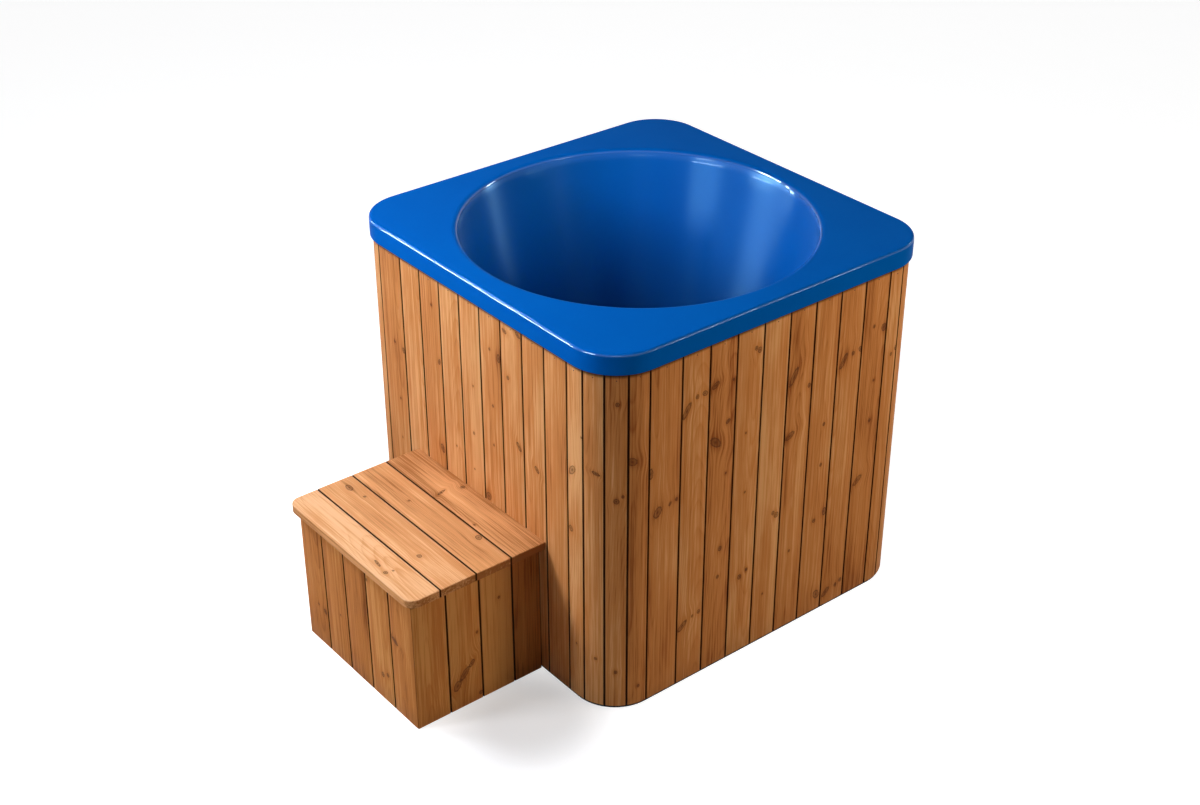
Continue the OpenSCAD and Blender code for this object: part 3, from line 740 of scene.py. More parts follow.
@dataclass
class Board:
    """One board in its own space: x across its face, y along the grain, the face at z = 0."""

    width: float
    length: float
    thickness: float
    seed: float
    # Lighter or darker wood; for a few boards it also holds painted shade
    tone: float = 0.0
    rounding: float = 0.0018
    cuts_across: int = 1
    cuts_along: int = 12
    mitre_start: bool = False
    mitre_end: bool = False
    tongue: bool = False
    groove: bool = False
    joints: tuple[bool, bool] = (True, True)
    sway: float = 0.00025
    round_corner_start: float = 0.0
    round_corner_end: float = 0.0
    knots: tuple[Knot, ...] = ()

    TONGUE_DEPTH = 0.0055
    TONGUE_T = 0.004
    TONGUE_L = 0.006
    GROOVE_L = 0.0043
    END_ROUNDING = 0.0007
    CORNER_STEPS = 12
    EDGE_STEPS = 3
    FRONT_EDGE_STEPS = 4
    END_STEPS = 2
    # Where the pith may lie: across in widths, inwards in metres, and its slope along the board
    PITH_ACROSS = (-0.4, 1.4)
    PITH_INWARDS = (0.02, 0.1)
    PITH_SLOPE = (0.004, 0.05)
    # Turns per metre of the waves in a board's edges
    WAVE_TURNS = (5, 14)
    NO_KNOT = Knot(-1.0, -1.0, 0.001)

    def build(self) -> bmesh.types.BMesh:
        """Shapes the board and marks it for the wood's nodes.

        Returns:
            The board's bmesh in its own space.
        """
        bm = bmesh.new()
        bmesh.ops.create_grid(bm, x_segments=self.cuts_across, y_segments=self.cuts_along, size=0.5)
        bmesh.ops.scale(bm, vec=(self.width, self.length, 1.0), verts=bm.verts)
        bmesh.ops.translate(bm, vec=(self.width / 2, self.length / 2, 0.0), verts=bm.verts)
        raised = bmesh.ops.extrude_face_region(bm, geom=bm.faces[:], use_keep_orig=True)
        lowered = [item for item in raised["geom"] if isinstance(item, Vert)]
        bmesh.ops.translate(bm, vec=(0.0, 0.0, -self.thickness), verts=lowered)
        bmesh.ops.recalc_face_normals(bm, faces=bm.faces)
        self._round_outline(bm)
        self._round_edges(bm)
        if self.tongue:
            self._ledge(bm, self.width, self.TONGUE_L)
        if self.groove:
            self._ledge(bm, 0.0, self.GROOVE_L)
        self._mitre(bm)
        self._mark(bm)
        return bm

    def _round_outline(self, bm: bmesh.types.BMesh) -> None:
        """Rounds the two upright edges at x = 0, where a tread has its outer corners."""
        for y, radius in ((0.0, self.round_corner_start), (self.length, self.round_corner_end)):
            if radius:
                upright = [
                    e
                    for e in bm.edges
                    if all(abs(v.co.x) < NEAR and abs(v.co.y - y) < NEAR for v in e.verts)
                ]
                self._bevel(bm, upright, radius, self.CORNER_STEPS)

    def _round_edges(self, bm: bmesh.types.BMesh) -> None:
        """Rounds the edges of the face, along the grain and at the ends."""
        rim = [
            e
            for e in bm.edges
            if all(abs(v.co.z) < NEAR for v in e.verts)
            and any(abs(f.normal.z) < 0.5 for f in e.link_faces)
        ]
        if self.round_corner_start or self.round_corner_end:
            self._bevel(bm, rim, self.rounding, self.FRONT_EDGE_STEPS)
            return
        long_edges = [e for e in rim if abs(e.verts[0].co.x - e.verts[1].co.x) < NEAR]
        self._bevel(bm, long_edges, self.rounding, self.EDGE_STEPS)
        deepest = -1.5 * self.rounding
        ends = [
            e
            for e in bm.edges
            if all(v.co.z > deepest for v in e.verts)
            and (all(v.co.y < NEAR for v in e.verts) or all(v.co.y > self.length - NEAR for v in e.verts))
            and any(abs(f.normal.y) < 0.5 for f in e.link_faces)
        ]
        self._bevel(bm, ends, self.END_ROUNDING, self.END_STEPS)

    @staticmethod
    def _bevel(bm: bmesh.types.BMesh, edges: list[Edge], size: float, steps: int) -> None:
        """Rounds edges with a radius and a number of steps."""
        bmesh.ops.bevel(
            bm, geom=edges, offset=size, offset_type="OFFSET", segments=steps, profile=0.5, affect="EDGES",
            material=-1, clamp_overlap=True,
        )

    def _ledge(self, bm: bmesh.types.BMesh, x: float, reach: float) -> None:
        """Pushes a strip of one long side out or in, as a tongue or a groove.

        Args:
            bm: The board.
            x: Which side, 0 or the board's width.
            reach: How far the strip moves along +x.
        """
        top = -self.TONGUE_DEPTH
        foot = top - self.TONGUE_T

        def on_side(face: bmesh.types.BMFace) -> bool:
            """Whether a face lies on the long side."""
            return all(abs(v.co.x - x) < NEAR for v in face.verts)

        for z in (top, foot):
            side = [f for f in bm.faces if on_side(f)]
            parts = {item for f in side for item in (f, *f.edges, *f.verts)}
            bmesh.ops.bisect_plane(bm, geom=list(parts), plane_co=(0, 0, z), plane_no=UP, dist=NEAR / 10)
        strip = [
            f for f in bm.faces if on_side(f) and all(foot - NEAR < v.co.z < top + NEAR for v in f.verts)
        ]
        moved = bmesh.ops.extrude_face_region(bm, geom=strip)
        tips = [item for item in moved["geom"] if isinstance(item, Vert)]
        bmesh.ops.translate(bm, vec=(reach, 0.0, 0.0), verts=tips)

    def _mitre(self, bm: bmesh.types.BMesh) -> None:
        """Leans the ends that meet another wall back at 45 degrees."""
        for vert in bm.verts:
            share = vert.co.x / self.width
            if self.mitre_start:
                vert.co.x -= vert.co.z * (1 - share)
            if self.mitre_end:
                vert.co.x += vert.co.z * share

    def _mark(self, bm: bmesh.types.BMesh) -> None:
        """Writes what the wood's nodes read onto the points and faces."""
        grain = bm.verts.layers.float_vector.new("grain")
        seed = bm.faces.layers.float.new("board_seed")
        tone = bm.faces.layers.float.new("board_tone")
        pith = bm.faces.layers.float_vector.new("board_pith")
        joints = bm.faces.layers.float_vector.new("board_joints")
        spots = [bm.faces.layers.float_vector.new(name) for name in BoardWood.KNOTS]
        forms = [bm.faces.layers.float_vector.new(name + "_form") for name in BoardWood.KNOTS]
        draw = random.Random(int(self.seed * 1000))
        across = self.width * draw.uniform(*self.PITH_ACROSS)
        inwards = draw.uniform(*self.PITH_INWARDS)
        heart = (across, inwards, draw.choice((-1, 1)) * draw.uniform(*self.PITH_SLOPE))
        waves = [(draw.uniform(*self.WAVE_TURNS), draw.uniform(0, 2 * math.pi)) for _ in range(4)]
        for vert in bm.verts:
            x, y, z = vert.co
            vert[grain] = (x, -z, y)
            start, end = (
                sum(math.sin(turn * y + phase) for turn, phase in pair) / 2
                for pair in (waves[:2], waves[2:])
            )
            share = min(max(x / self.width, 0.0), 1.0)
            vert.co.x += self.sway * (start * (1 - share) + end * share)
        for face in bm.faces:
            face[seed] = self.seed
            face[tone] = self.tone
            face[pith] = heart
            face[joints] = (self.joints[0], self.joints[1], self.width)
            face.smooth = True
            height = face.calc_center_median().y
            near = sorted(self.knots, key=lambda knot: abs(knot.z - height) - 2 * knot.r)
            for index, (spot, form) in enumerate(zip(spots, forms)):
                knot = near[index] if index < len(near) else self.NO_KNOT
                lean = math.radians(knot.lean)
                face[spot] = (knot.s, knot.z, knot.r)
                face[form] = (math.cos(lean), math.sin(lean), knot.long)


class Piece:
    """Collects boards or parts into one mesh object of the scene."""

    # Angle in degrees above which an edge stays sharp
    CREASE = 35.0

    def __init__(self, name: str) -> None:
        """Starts an empty piece."""
        self.name = name
        self.bm = bmesh.new()

    def take(self, part: bmesh.types.BMesh, place: Place | None = None) -> None:
        """Adds a part and frees it.

        Args:
            part: The part's bmesh.
            place: Where each of its points goes, or None where it is in place.
        """
        if place:
            for vert in part.verts:
                vert.co = place(vert.co)
        bmesh.ops.recalc_face_normals(part, faces=part.faces)
        mesh = bpy.data.meshes.new("part")
        part.to_mesh(mesh)
        part.free()
        self.bm.from_mesh(mesh)
        bpy.data.meshes.remove(mesh)

    def finish(
        self, body: str, slot: str, material: bpy.types.Material, nodes: Iterable[str] = ()
    ) -> bpy.types.Object:
        """Makes the scene object, puts it on its body and hides the CAD nodes that it stands for.

        Args:
            body: The body that it rides on.
            slot: The record's material slot; not used.
            material: Its material.
            nodes: The CAD nodes that it replaces.

        Returns:
            The object.
        """
        mesh = bpy.data.meshes.new(self.name)
        self.bm.to_mesh(mesh)
        self.bm.free()
        mesh.polygons.foreach_set("use_smooth", [True] * len(mesh.polygons))
        mesh.set_sharp_from_angle(angle=math.radians(self.CREASE))
        mesh.materials.append(material)
        piece = bpy.data.objects.new(self.name, mesh)
        bpy.context.scene.collection.objects.link(piece)
        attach(piece, body)
        if nodes:
            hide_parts(*nodes)
        LOG.info("%s: %d faces on %s", self.name, len(mesh.polygons), body)
        return piece


@dataclass(frozen=True)
class Spoke:
    """A line from a base point outwards, along which a ring of the liner has one point."""

    base: Vector
    out: Vector
    reach: float
    ray: Vector


@dataclass(frozen=True)
class Ring:
    """One loop of the liner: how round it is, its radius, its inset from the rim and its height."""

    z: float
    radius: float = 0.0
    inset: float = 0.0
    roundness: float = 0.0
    gloss: float = 0.0


@dataclass(frozen=True)
class GelcoatFinish(MottleFinish):
    """Glossy gelcoat, with a clear coat where the mesh's gloss mask is high.

    The bowl's mould was polished round its axis, which draws its highlights out along the wall.
    """

    main: Colour = rgb(0.0, 0.105, 0.43)
    second: Colour = rgb(0.0, 0.092, 0.4)
    scale: float = 5.0
    contrast: float = 0.8
    roughness: float = 0.3
    roughness_spread: float = 0.05
    relief: float = 0.00006
    coat_roughness: float = 0.05
    coat_ior: float = 1.5
    tint: Colour = grey(1.0)
    polish: float = 0.0
    # The highlights run across the polish, in turns from it
    polish_turn: float = 0.25
    # Painted shade low in the bowl: the colour that the gelcoat is painted towards there, and the heights
    # between which it changes
    painted_shade: Colour = rgb(0.0, 0.033, 0.135)
    painted_shade_z: tuple[float, float] = (0.35, 0.95)

    def material(self) -> bpy.types.Material:
        """Builds the material."""
        material, graph, shader, colour = self.mottled()
        shader.inputs["Coat Roughness"].default_value = self.coat_roughness
        shader.inputs["Coat IOR"].default_value = self.coat_ior
        shader.inputs["Specular Tint"].default_value = self.tint
        x, y, height = graph.split(graph.object_place())
        if self.polish:
            shader.inputs["Anisotropic"].default_value = self.polish
            shader.inputs["Anisotropic Rotation"].default_value = self.polish_turn
            graph.feed(shader.inputs["Tangent"], graph.join(graph.times(y, -1.0), x, 0.0))
        # Painted shade: the colour darkens towards the bottom of the bowl
        share = graph.fade(height, *self.painted_shade_z, 1.0, 0.0)
        graph.feed(shader.inputs["Base Color"], graph.blend(share, colour, self.painted_shade))
        graph.feed(shader.inputs["Coat Weight"], graph.attribute("gloss", "Fac"))
        return material


@dataclass
class Liner:
    """The moulded blue liner: rim, skirt, rolled mouth, tapered bowl and floor in one wall.

    Sizes are in metres and angles in degrees.
    """

    half: float
    top: float
    wall: float = 0.006
    corner: float = 0.135
    edge: float = 0.008
    skirt: float = 0.056
    margin: float = 0.07
    lip_width: float = 0.014
    lip_tip: float = 35.0
    lip: float = 0.008
    taper: float = 12.0
    floor: float = 0.12
    fillet: float = 0.08
    drain: float = 0.02415
    bowl_start: float = 0.0085
    ease: float = 0.07
    ease_tip: float = 30.0
    hem: float = 0.0015
    hem_share: float = 0.3
    flat_steps: int = 40
    corner_steps: int = 24
    fillet_steps: int = 12
    wall_steps: int = 16
    ease_steps: int = 8
    lip_steps: int = 6
    roll_steps: int = 8
    floor_radii: tuple[float, ...] = (0.045, 0.09, 0.14, 0.18)
    # The rim's rings between the round mouth and the square edge: their inset, and how square they are
    rim_inset: float = 0.024
    rim_square: tuple[float, ...] = (0.06, 0.3, 0.65, 1.0)
    rim_flat: float = 0.002
    skirt_shares: tuple[float, ...] = (0.1, 0.5, 0.9, 1.0)
    # Gloss at the first ring of the lip and the roll and its change from ring to ring, and along the edge
    ease_gloss: float = 0.3
    lip_gloss: tuple[float, float] = (0.5, 0.25)
    roll_gloss: tuple[float, float] = (0.3, -0.25)
    edge_gloss: tuple[float, ...] = (0, 0, 0, 0, 0.15, 0.7, 1.0, 0.5, 0)
    bowl_finish: GelcoatFinish = GelcoatFinish(
        "bowl_gelcoat", specular=0.26, roughness=0.31, tint=rgb(0.42, 0.76, 1.0), polish=0.97,
    )
    rim_finish: GelcoatFinish = GelcoatFinish(
        "rim_gelcoat", specular=0.004, roughness=0.35, coat_roughness=0.07,
    )

    @classmethod
    def from_frame(cls) -> "Liner":
        """Takes the liner's width and height from its CAD node."""
        _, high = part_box("tub_shell")
        return cls(half=high[0], top=high[2])

    def spokes(self) -> list[Spoke]:
        """The lines round the rim, from the middle of the front, counterclockwise."""
        flat = self.half - self.corner
        first = [
            Spoke(Vector((flat * i / self.flat_steps * 2 - flat, 0)), Vector((0, -1)), self.half, Vector())
            for i in range(self.flat_steps)
        ]
        for i in range(self.corner_steps):
            angle = math.pi / 2 * i / self.corner_steps
            out = Vector((math.sin(angle), -math.cos(angle)))
            first.append(Spoke(Vector((flat, -flat)), out, self.corner, Vector()))
        result = []
        for side in Side:
            turn = side.turn.to_2x2()
            for spoke in first:
                base, out = turn @ spoke.base, turn @ spoke.out
                result.append(Spoke(base, out, spoke.reach, (base + out * spoke.reach).normalized()))
        return result

    def bowl_rings(self, depth: float) -> list[Ring]:
        """The bowl's rings at a depth behind its wetted face, from the drain to the rim.

        Args:
            depth: Distance outwards from the wetted face.

        Returns:
            The rings in order.
        """
        roll = self.lip_width / math.sin(math.radians(self.lip_tip))
        mouth = self.half - self.margin
        roll_c = Vector((mouth + self.lip_width, self.top - roll))
        tip = math.radians(90 + self.lip_tip)
        lip_c = roll_c + (roll - self.lip) * Vector((math.cos(tip), math.sin(tip)))
        lean = math.radians(self.taper)
        steep = math.radians(self.ease_tip)
        ease_c = lip_c + (self.ease - self.lip) * Vector((math.cos(steep), -math.sin(steep)))
        wall_top = ease_c + self.ease * Vector((-math.cos(lean), math.sin(lean)))
        foot_z = self.floor + self.fillet * (1 - math.sin(lean))
        foot_r = wall_top.x - (wall_top.y - foot_z) * math.tan(lean)
        fillet_c = Vector((foot_r - self.fillet * math.cos(lean), self.floor + self.fillet))
        path = [Vector((r, self.floor - depth)) for r in (self.drain, *self.floor_radii)]
        path += self.arc(fillet_c, self.fillet + depth, -math.pi / 2, -lean, self.fillet_steps)
        low = path[-1]
        eased = self.arc(ease_c, self.ease - depth, math.pi - lean, math.pi - steep, self.ease_steps)
        path += [low.lerp(eased[0], i / self.wall_steps) for i in range(1, self.wall_steps)]
        lip = self.arc(lip_c, self.lip - depth, math.pi - steep, tip, self.lip_steps)
        roll_arc = self.arc(roll_c, roll - depth, tip, math.pi / 2, self.roll_steps)[1:]
        return [
            *self.loops(path, 0.0, 0.0),
            *self.loops(eased[:-1], 0.0, self.ease_gloss / self.ease_steps),
            *self.loops(lip, *self.lip_gloss),
            *self.loops(roll_arc, *self.roll_gloss),
        ]

    @staticmethod
    def loops(points: list[Vector], gloss: float, change: float) -> list[Ring]:
        """Round rings through a profile's points.

        Args:
            points: Each ring's radius and height.
            gloss: The first ring's gloss.
            change: How much the gloss changes from ring to ring, between 0 and 1.

        Returns:
            The rings in order.
        """
        return [
            Ring(z=p.y, radius=p.x, roundness=1.0, gloss=min(1.0, max(0.0, gloss + change * i)))
            for i, p in enumerate(points)
        ]

    @staticmethod
    def arc(centre: Vector, radius: float, start: float, end: float, steps: int) -> list[Vector]:
        """Points along an arc in the profile's plane."""
        angles = (start + (end - start) * i / steps for i in range(steps + 1))
        return [centre + radius * Vector((math.cos(a), math.sin(a))) for a in angles]

    def rim_rings(self, depth: float) -> list[Ring]:
        """The rim's rings at a depth inside its outer face, from the mouth to the skirt's foot."""
        mouth = self.half - self.margin + self.lip_width
        level = self.top - depth
        edge = self.edge - depth
        across = [
            Ring(z=level, radius=mouth, inset=self.rim_inset, roundness=1 - share)
            for share in self.rim_square
        ]
        across.append(Ring(z=level, inset=self.edge + self.rim_flat))
        for i, gloss in enumerate(self.edge_gloss):
            angle = math.pi / 2 * i / (len(self.edge_gloss) - 1)
            across.append(Ring(
                z=self.top - self.edge + edge * math.cos(angle),
                inset=self.edge - edge * math.sin(angle),
                gloss=gloss,
            ))
        foot = self.top - self.skirt + self.hem
        start = self.top - self.edge
        across += [Ring(z=start + (foot - start) * share, inset=depth) for share in self.skirt_shares]
        return across

    def rings(self) -> list[Ring]:
        """All rings in order, down the outside and back behind it."""
        face = self.bowl_rings(0.0) + self.rim_rings(0.0)
        low = self.top - self.skirt
        eased = self.hem * self.hem_share
        hem = [
            Ring(z=low + eased, inset=eased),
            Ring(z=low, inset=self.hem),
            Ring(z=low, inset=self.wall - self.hem),
            Ring(z=low + eased, inset=self.wall - eased),
        ]
        back = self.bowl_rings(self.wall) + self.rim_rings(self.wall)
        return face + hem + back[::-1]

    def build(self) -> bpy.types.Object:
        """Builds the liner by extruding one loop through all rings."""
        spokes = self.spokes()
        rings = self.rings()
        piece = Piece("liner")
        bm = piece.bm
        gloss = bm.verts.layers.float.new("gloss")
        loop = bmesh.ops.create_circle(bm, segments=len(spokes), radius=self.drain)["verts"]
        self.set_ring(loop, spokes, rings[0], gloss)
        edges = bm.edges[:]
        for ring in rings[1:]:
            made = bmesh.ops.extrude_edge_only(bm, edges=edges)["geom"]
            edges = [item for item in made if isinstance(item, Edge) and item.is_boundary]
            loop = self.next_loop(loop, edges)
            self.set_ring(loop, spokes, ring, gloss)
        bmesh.ops.bridge_loops(bm, edges=[e for e in bm.edges if e.is_boundary])
        mouth = self.half - self.margin
        for face in bm.faces:
            centre = face.calc_center_median()
            face.material_index = int(centre.xy.length < mouth and centre.z < self.top - self.bowl_start)
        bmesh.ops.recalc_face_normals(bm, faces=bm.faces)
        made = piece.finish("tub", "liner_blue", self.rim_finish.material(), ["tub_shell"])
        made.data.materials.append(self.bowl_finish.material())
        shade = made.modifiers.new("face_weights", "WEIGHTED_NORMAL")
        shade.keep_sharp = True
        return made

    @staticmethod
    def next_loop(loop: list[Vert], edges: list[Edge]) -> list[Vert]:
        """The new loop's points in the old loop's order.

        Args:
            loop: The points that were extruded.
            edges: The new loop's edges.

        Returns:
            The new points, each the neighbour of the old one.
        """
        fresh = {vert for edge in edges for vert in edge.verts}
        return [next(e.other_vert(v) for e in v.link_edges if e.other_vert(v) in fresh) for v in loop]

    @staticmethod
    def set_ring(
        loop: list[Vert], spokes: list[Spoke], ring: Ring, gloss: bmesh.types.BMLayerItem
    ) -> None:
        """Puts a loop's points onto a ring and marks how glossy they are."""
        for vert, spoke in zip(loop, spokes):
            square = spoke.base + spoke.out * (spoke.reach - ring.inset)
            flat = square.lerp(spoke.ray * ring.radius, ring.roundness)
            vert.co = (flat.x, flat.y, ring.z)
            vert[gloss] = ring.gloss


# cover_height paints shade on the casing just below the liner's skirt, and on the step's boards just below
# the treads
CASING_FINISH = BoardFinish("casing_spruce", specular=0.018, cover_height=0.9985)
STEP_FINISH = BoardFinish(
    "step_spruce", specular=0.015, cover_height=0.392,
    pale=rgb(0.665, 0.29, 0.08), warm=rgb(0.515, 0.182, 0.043), dark=rgb(0.23, 0.064, 0.013),
)
TREAD_FINISH = BoardFinish(
    "tread_spruce", specular=0.02,
    pale=rgb(0.88, 0.5, 0.25), warm=rgb(0.7, 0.32, 0.12), dark=rgb(0.36, 0.13, 0.035),
)

NAIL_FINISH = MottleFinish(
    "nail_iron", specular=0.4, metallic=0.6, scale=400.0, roughness=0.5,
    main=rgb(0.05, 0.035, 0.03), second=rgb(0.02, 0.015, 0.012),
)


@dataclass
class Wall:
    """A row of upright or lying boards: where it starts, and its three directions."""

    origin: Vector
    across: Vector
    inwards: Vector
    along: Vector

    def at(self, start: float) -> Place:
        """Where the points of a board go that begins at a place across the wall."""

        def place(p: Vector) -> Vector:
            """A point of the board's space in the frame."""
            return self.origin + self.across * (start + p.x) - self.inwards * p.z + self.along * p.y

        return place


@dataclass
class Casing:
    """The tongue and groove boards round the tub, with narrow boards round its corners."""

    half: float
    low: float
    high: float
    thickness: float
    ends: dict[Side, float]
    run: float
    corner: float = 0.127
    first_board: float = 0.101
    board_count: int = 9
    stave_count: int = 4
    gap: float = 0.002
    knots: dict[Side, tuple[Knot, ...]] = field(default_factory=dict)
    tones: dict[Side, tuple[float, ...]] = field(default_factory=dict)
    nails: list[tuple[Vector, Vector]] = field(default_factory=list)

    CORNERS = {
        Side.FRONT: "front_right",
        Side.RIGHT: "back_right",
        Side.BACK: "back_left",
        Side.LEFT: "front_left",
    }
    SEEN = (Side.FRONT, Side.RIGHT)
    DRAW = 7
    SEEDS = (1.0, 0.37)
    TONE_SPREAD = 0.1
    SEEN_TONE_SHARE = 0.4
    STAVE_CUTS = 10

    # Knots of boards that aren't seen: how many, their height, radius, lean and length
    KNOT_COUNT = (1, 4)
    KNOT_EDGE = 0.01
    KNOT_Z = (0.05, 0.95)
    KNOT_RADII = (0.003, 0.004, 0.007, 0.01)
    KNOT_LEAN = (-60, 60)
    KNOT_LONG = (1.1, 2.0)

    NAIL_Z = 0.9875
    NAIL_Z_SPREAD = 0.003
    NAIL_RADII = (0.0019, 0.0012)
    NAIL_DEPTH = 0.0012
    NAIL_SIDES = 10

    @classmethod
    def from_frame(cls) -> "Casing":
        """Takes the casing's sizes from its CAD nodes."""
        low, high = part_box("cladding_front")
        half_gap = cls.gap / 2
        ends = {
            Side.FRONT: high[0] + half_gap,
            Side.RIGHT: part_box("cladding_right")[1][1] + half_gap,
            Side.BACK: -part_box("cladding_back")[0][0] + half_gap,
            Side.LEFT: -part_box("cladding_left")[0][1] + half_gap,
        }
        return cls(
            half=-low[1],
            low=low[2],
            high=high[2],
            thickness=high[1] - low[1],
            ends=ends,
            run=high[0] - low[0] + cls.gap,
            knots=CASING_KNOTS,
            tones=CASING_TONES_AND_SHADE,
        )

    @property
    def flat(self) -> float:
        """Half length of a side's straight part."""
        return self.half - self.corner

    @property
    def quarter(self) -> float:
        """Length of the outline from one side's middle to the next."""
        return 2 * self.flat + self.corner * math.pi / 2

    def outline(self, side: Side, s: float, depth: float) -> Vector:
        """A point of the casing's outline.

        Args:
            side: The side that s starts from.
            s: Distance along the outline from that side's middle, towards the next side.
            depth: Distance inside the boards' faces.

        Returns:
            The point, flat in the plan.
        """
        if s <= self.flat:
            point = Vector((s, -self.half + depth, 0))
        else:
            angle = (s - self.flat) / self.corner
            reach = self.corner - depth
            point = Vector((self.flat + reach * math.sin(angle), -self.flat - reach * math.cos(angle), 0))
        return side.turn @ point

    def joints(self, side: Side) -> list[float]:
        """Places of a side's joints along the outline, from its first board to its last."""
        start = self.ends[side] - self.run
        step = (self.run - self.first_board) / (self.board_count - 1)
        return [start] + [start + self.first_board + i * step for i in range(self.board_count)]

    def corner_joints(self, side: Side) -> list[float]:
        """Places of the joints round the corner after a side."""
        start = self.ends[side]
        end = self.quarter + self.ends[side.following] - self.run
        return [start + (end - start) * i / self.stave_count for i in range(self.stave_count + 1)]

    def board(
        self, side: Side, s0: float, s1: float, index: int, number: int, draw: random.Random, **form: object
    ) -> Board:
        """One board between two joints, with the knots that lie on it.

        Args:
            side: The side that the joints are measured from.
            s0: The joint where it starts.
            s1: The joint where it ends.
            index: Its place among the side's boards and staves.
            number: Its number round the casing, for its seed.
            draw: Where its random tone comes from.
            **form: Further fields of the board.

        Returns:
            The board.
        """
        start = s0 + self.gap / 2
        seen = [knot for knot in self.knots.get(side, ()) if s0 < knot.s < s1]
        drawn = [] if seen or side in self.SEEN else self.drawn_knots(s0, s1, draw)
        tones = self.tones.get(side, ())
        spread = self.TONE_SPREAD * (1.0 if drawn else self.SEEN_TONE_SHARE)
        first, step = self.SEEDS
        return Board(
            width=s1 - s0 - self.gap,
            length=self.high - self.low,
            thickness=self.thickness,
            seed=first + step * number,
            tone=draw.uniform(-spread, spread) + (tones[index] if index < len(tones) else 0.0),
            knots=tuple(knot.moved(-start, -self.low) for knot in seen + drawn),
            **form,
        )

    def drawn_knots(self, s0: float, s1: float, draw: random.Random) -> list[Knot]:
        """Knots at random places of a board between two joints."""
        return [
            Knot(
                draw.uniform(s0 + self.KNOT_EDGE, s1 - self.KNOT_EDGE),
                draw.uniform(*self.KNOT_Z),
                draw.choice(self.KNOT_RADII),
                draw.uniform(*self.KNOT_LEAN),
                draw.uniform(*self.KNOT_LONG),
            )
            for _ in range(draw.randint(*self.KNOT_COUNT))
        ]

    def build(self) -> None:
        """Builds the four sides, the four corners and the nails."""
        material = CASING_FINISH.material()
        draw = random.Random(self.DRAW)
        numbers = count(1)
        for side in Side:
            self.build_side(side, material, numbers, draw)
            self.build_corner(side, material, numbers, draw)
        self.build_nails(draw)

    def build_side(
        self, side: Side, material: bpy.types.Material, numbers: Iterator[int], draw: random.Random
    ) -> None:
        """Builds the flat boards of a side.

        Args:
            side: The side.
            material: The boards' material.
            numbers: The boards' numbers round the casing.
            draw: Where the random tones come from.
        """
        name = side.name.lower()
        piece = Piece("casing_boards_" + name)
        turn = side.turn
        corner = Vector((0, -self.half, self.low))
        wall = Wall(turn @ corner, turn @ Vector((1, 0, 0)), turn @ Vector((0, 1, 0)), UP)
        joints = self.joints(side)
        last = len(joints) - 2
        for i, (s0, s1) in enumerate(pairwise(joints)):
            board = self.board(side, s0, s1, i, next(numbers), draw, groove=i > 0, tongue=i < last)
            piece.take(board.build(), wall.at(s0 + self.gap / 2))
            self.nails.append((turn @ Vector(((s0 + s1) / 2, -self.half, 0)), turn @ Vector((0, -1, 0))))
        piece.finish("tub", "casing_boards", material, ["cladding_" + name])

    def build_corner(
        self, side: Side, material: bpy.types.Material, numbers: Iterator[int], draw: random.Random
    ) -> None:
        """Builds the narrow boards round the corner after a side.

        Args:
            side: The side before the corner.
            material: The boards' material.
            numbers: The boards' numbers round the casing.
            draw: Where the random tones come from.
        """
        name = self.CORNERS[side]
        piece = Piece("casing_corner_" + name)
        for i, (s0, s1) in enumerate(pairwise(self.corner_joints(side))):
            index = self.board_count + i
            board = self.board(side, s0, s1, index, next(numbers), draw, cuts_across=self.STAVE_CUTS)
            start = s0 + self.gap / 2

            def place(p: Vector, start: float = start) -> Vector:
                """A point of the board's space, bent round the corner."""
                return self.outline(side, start + p.x, -p.z) + Vector((0, 0, self.low + p.y))

            piece.take(board.build(), place)
            middle = self.outline(side, (s0 + s1) / 2, 0.0)
            behind = self.outline(side, (s0 + s1) / 2, self.thickness)
            self.nails.append((middle, (middle - behind).normalized()))
        piece.finish("tub", "corner_boards", material, ["corner_boards_" + name])

    def build_nails(self, draw: random.Random) -> None:
        """One small nail head near the top of each board."""
        piece = Piece("casing_nails")
        for foot, out in self.nails:
            place = foot + UP * (self.NAIL_Z + draw.uniform(-self.NAIL_Z_SPREAD, self.NAIL_Z_SPREAD))
            part = bmesh.new()
            bmesh.ops.create_cone(
                part, cap_ends=True, segments=self.NAIL_SIDES,
                radius1=self.NAIL_RADII[0], radius2=self.NAIL_RADII[1], depth=self.NAIL_DEPTH,
                matrix=Matrix.Translation(place) @ out.to_track_quat("Z", "Y").to_matrix().to_4x4(),
            )
            piece.take(part)
        piece.finish("tub", "steel", NAIL_FINISH.material())


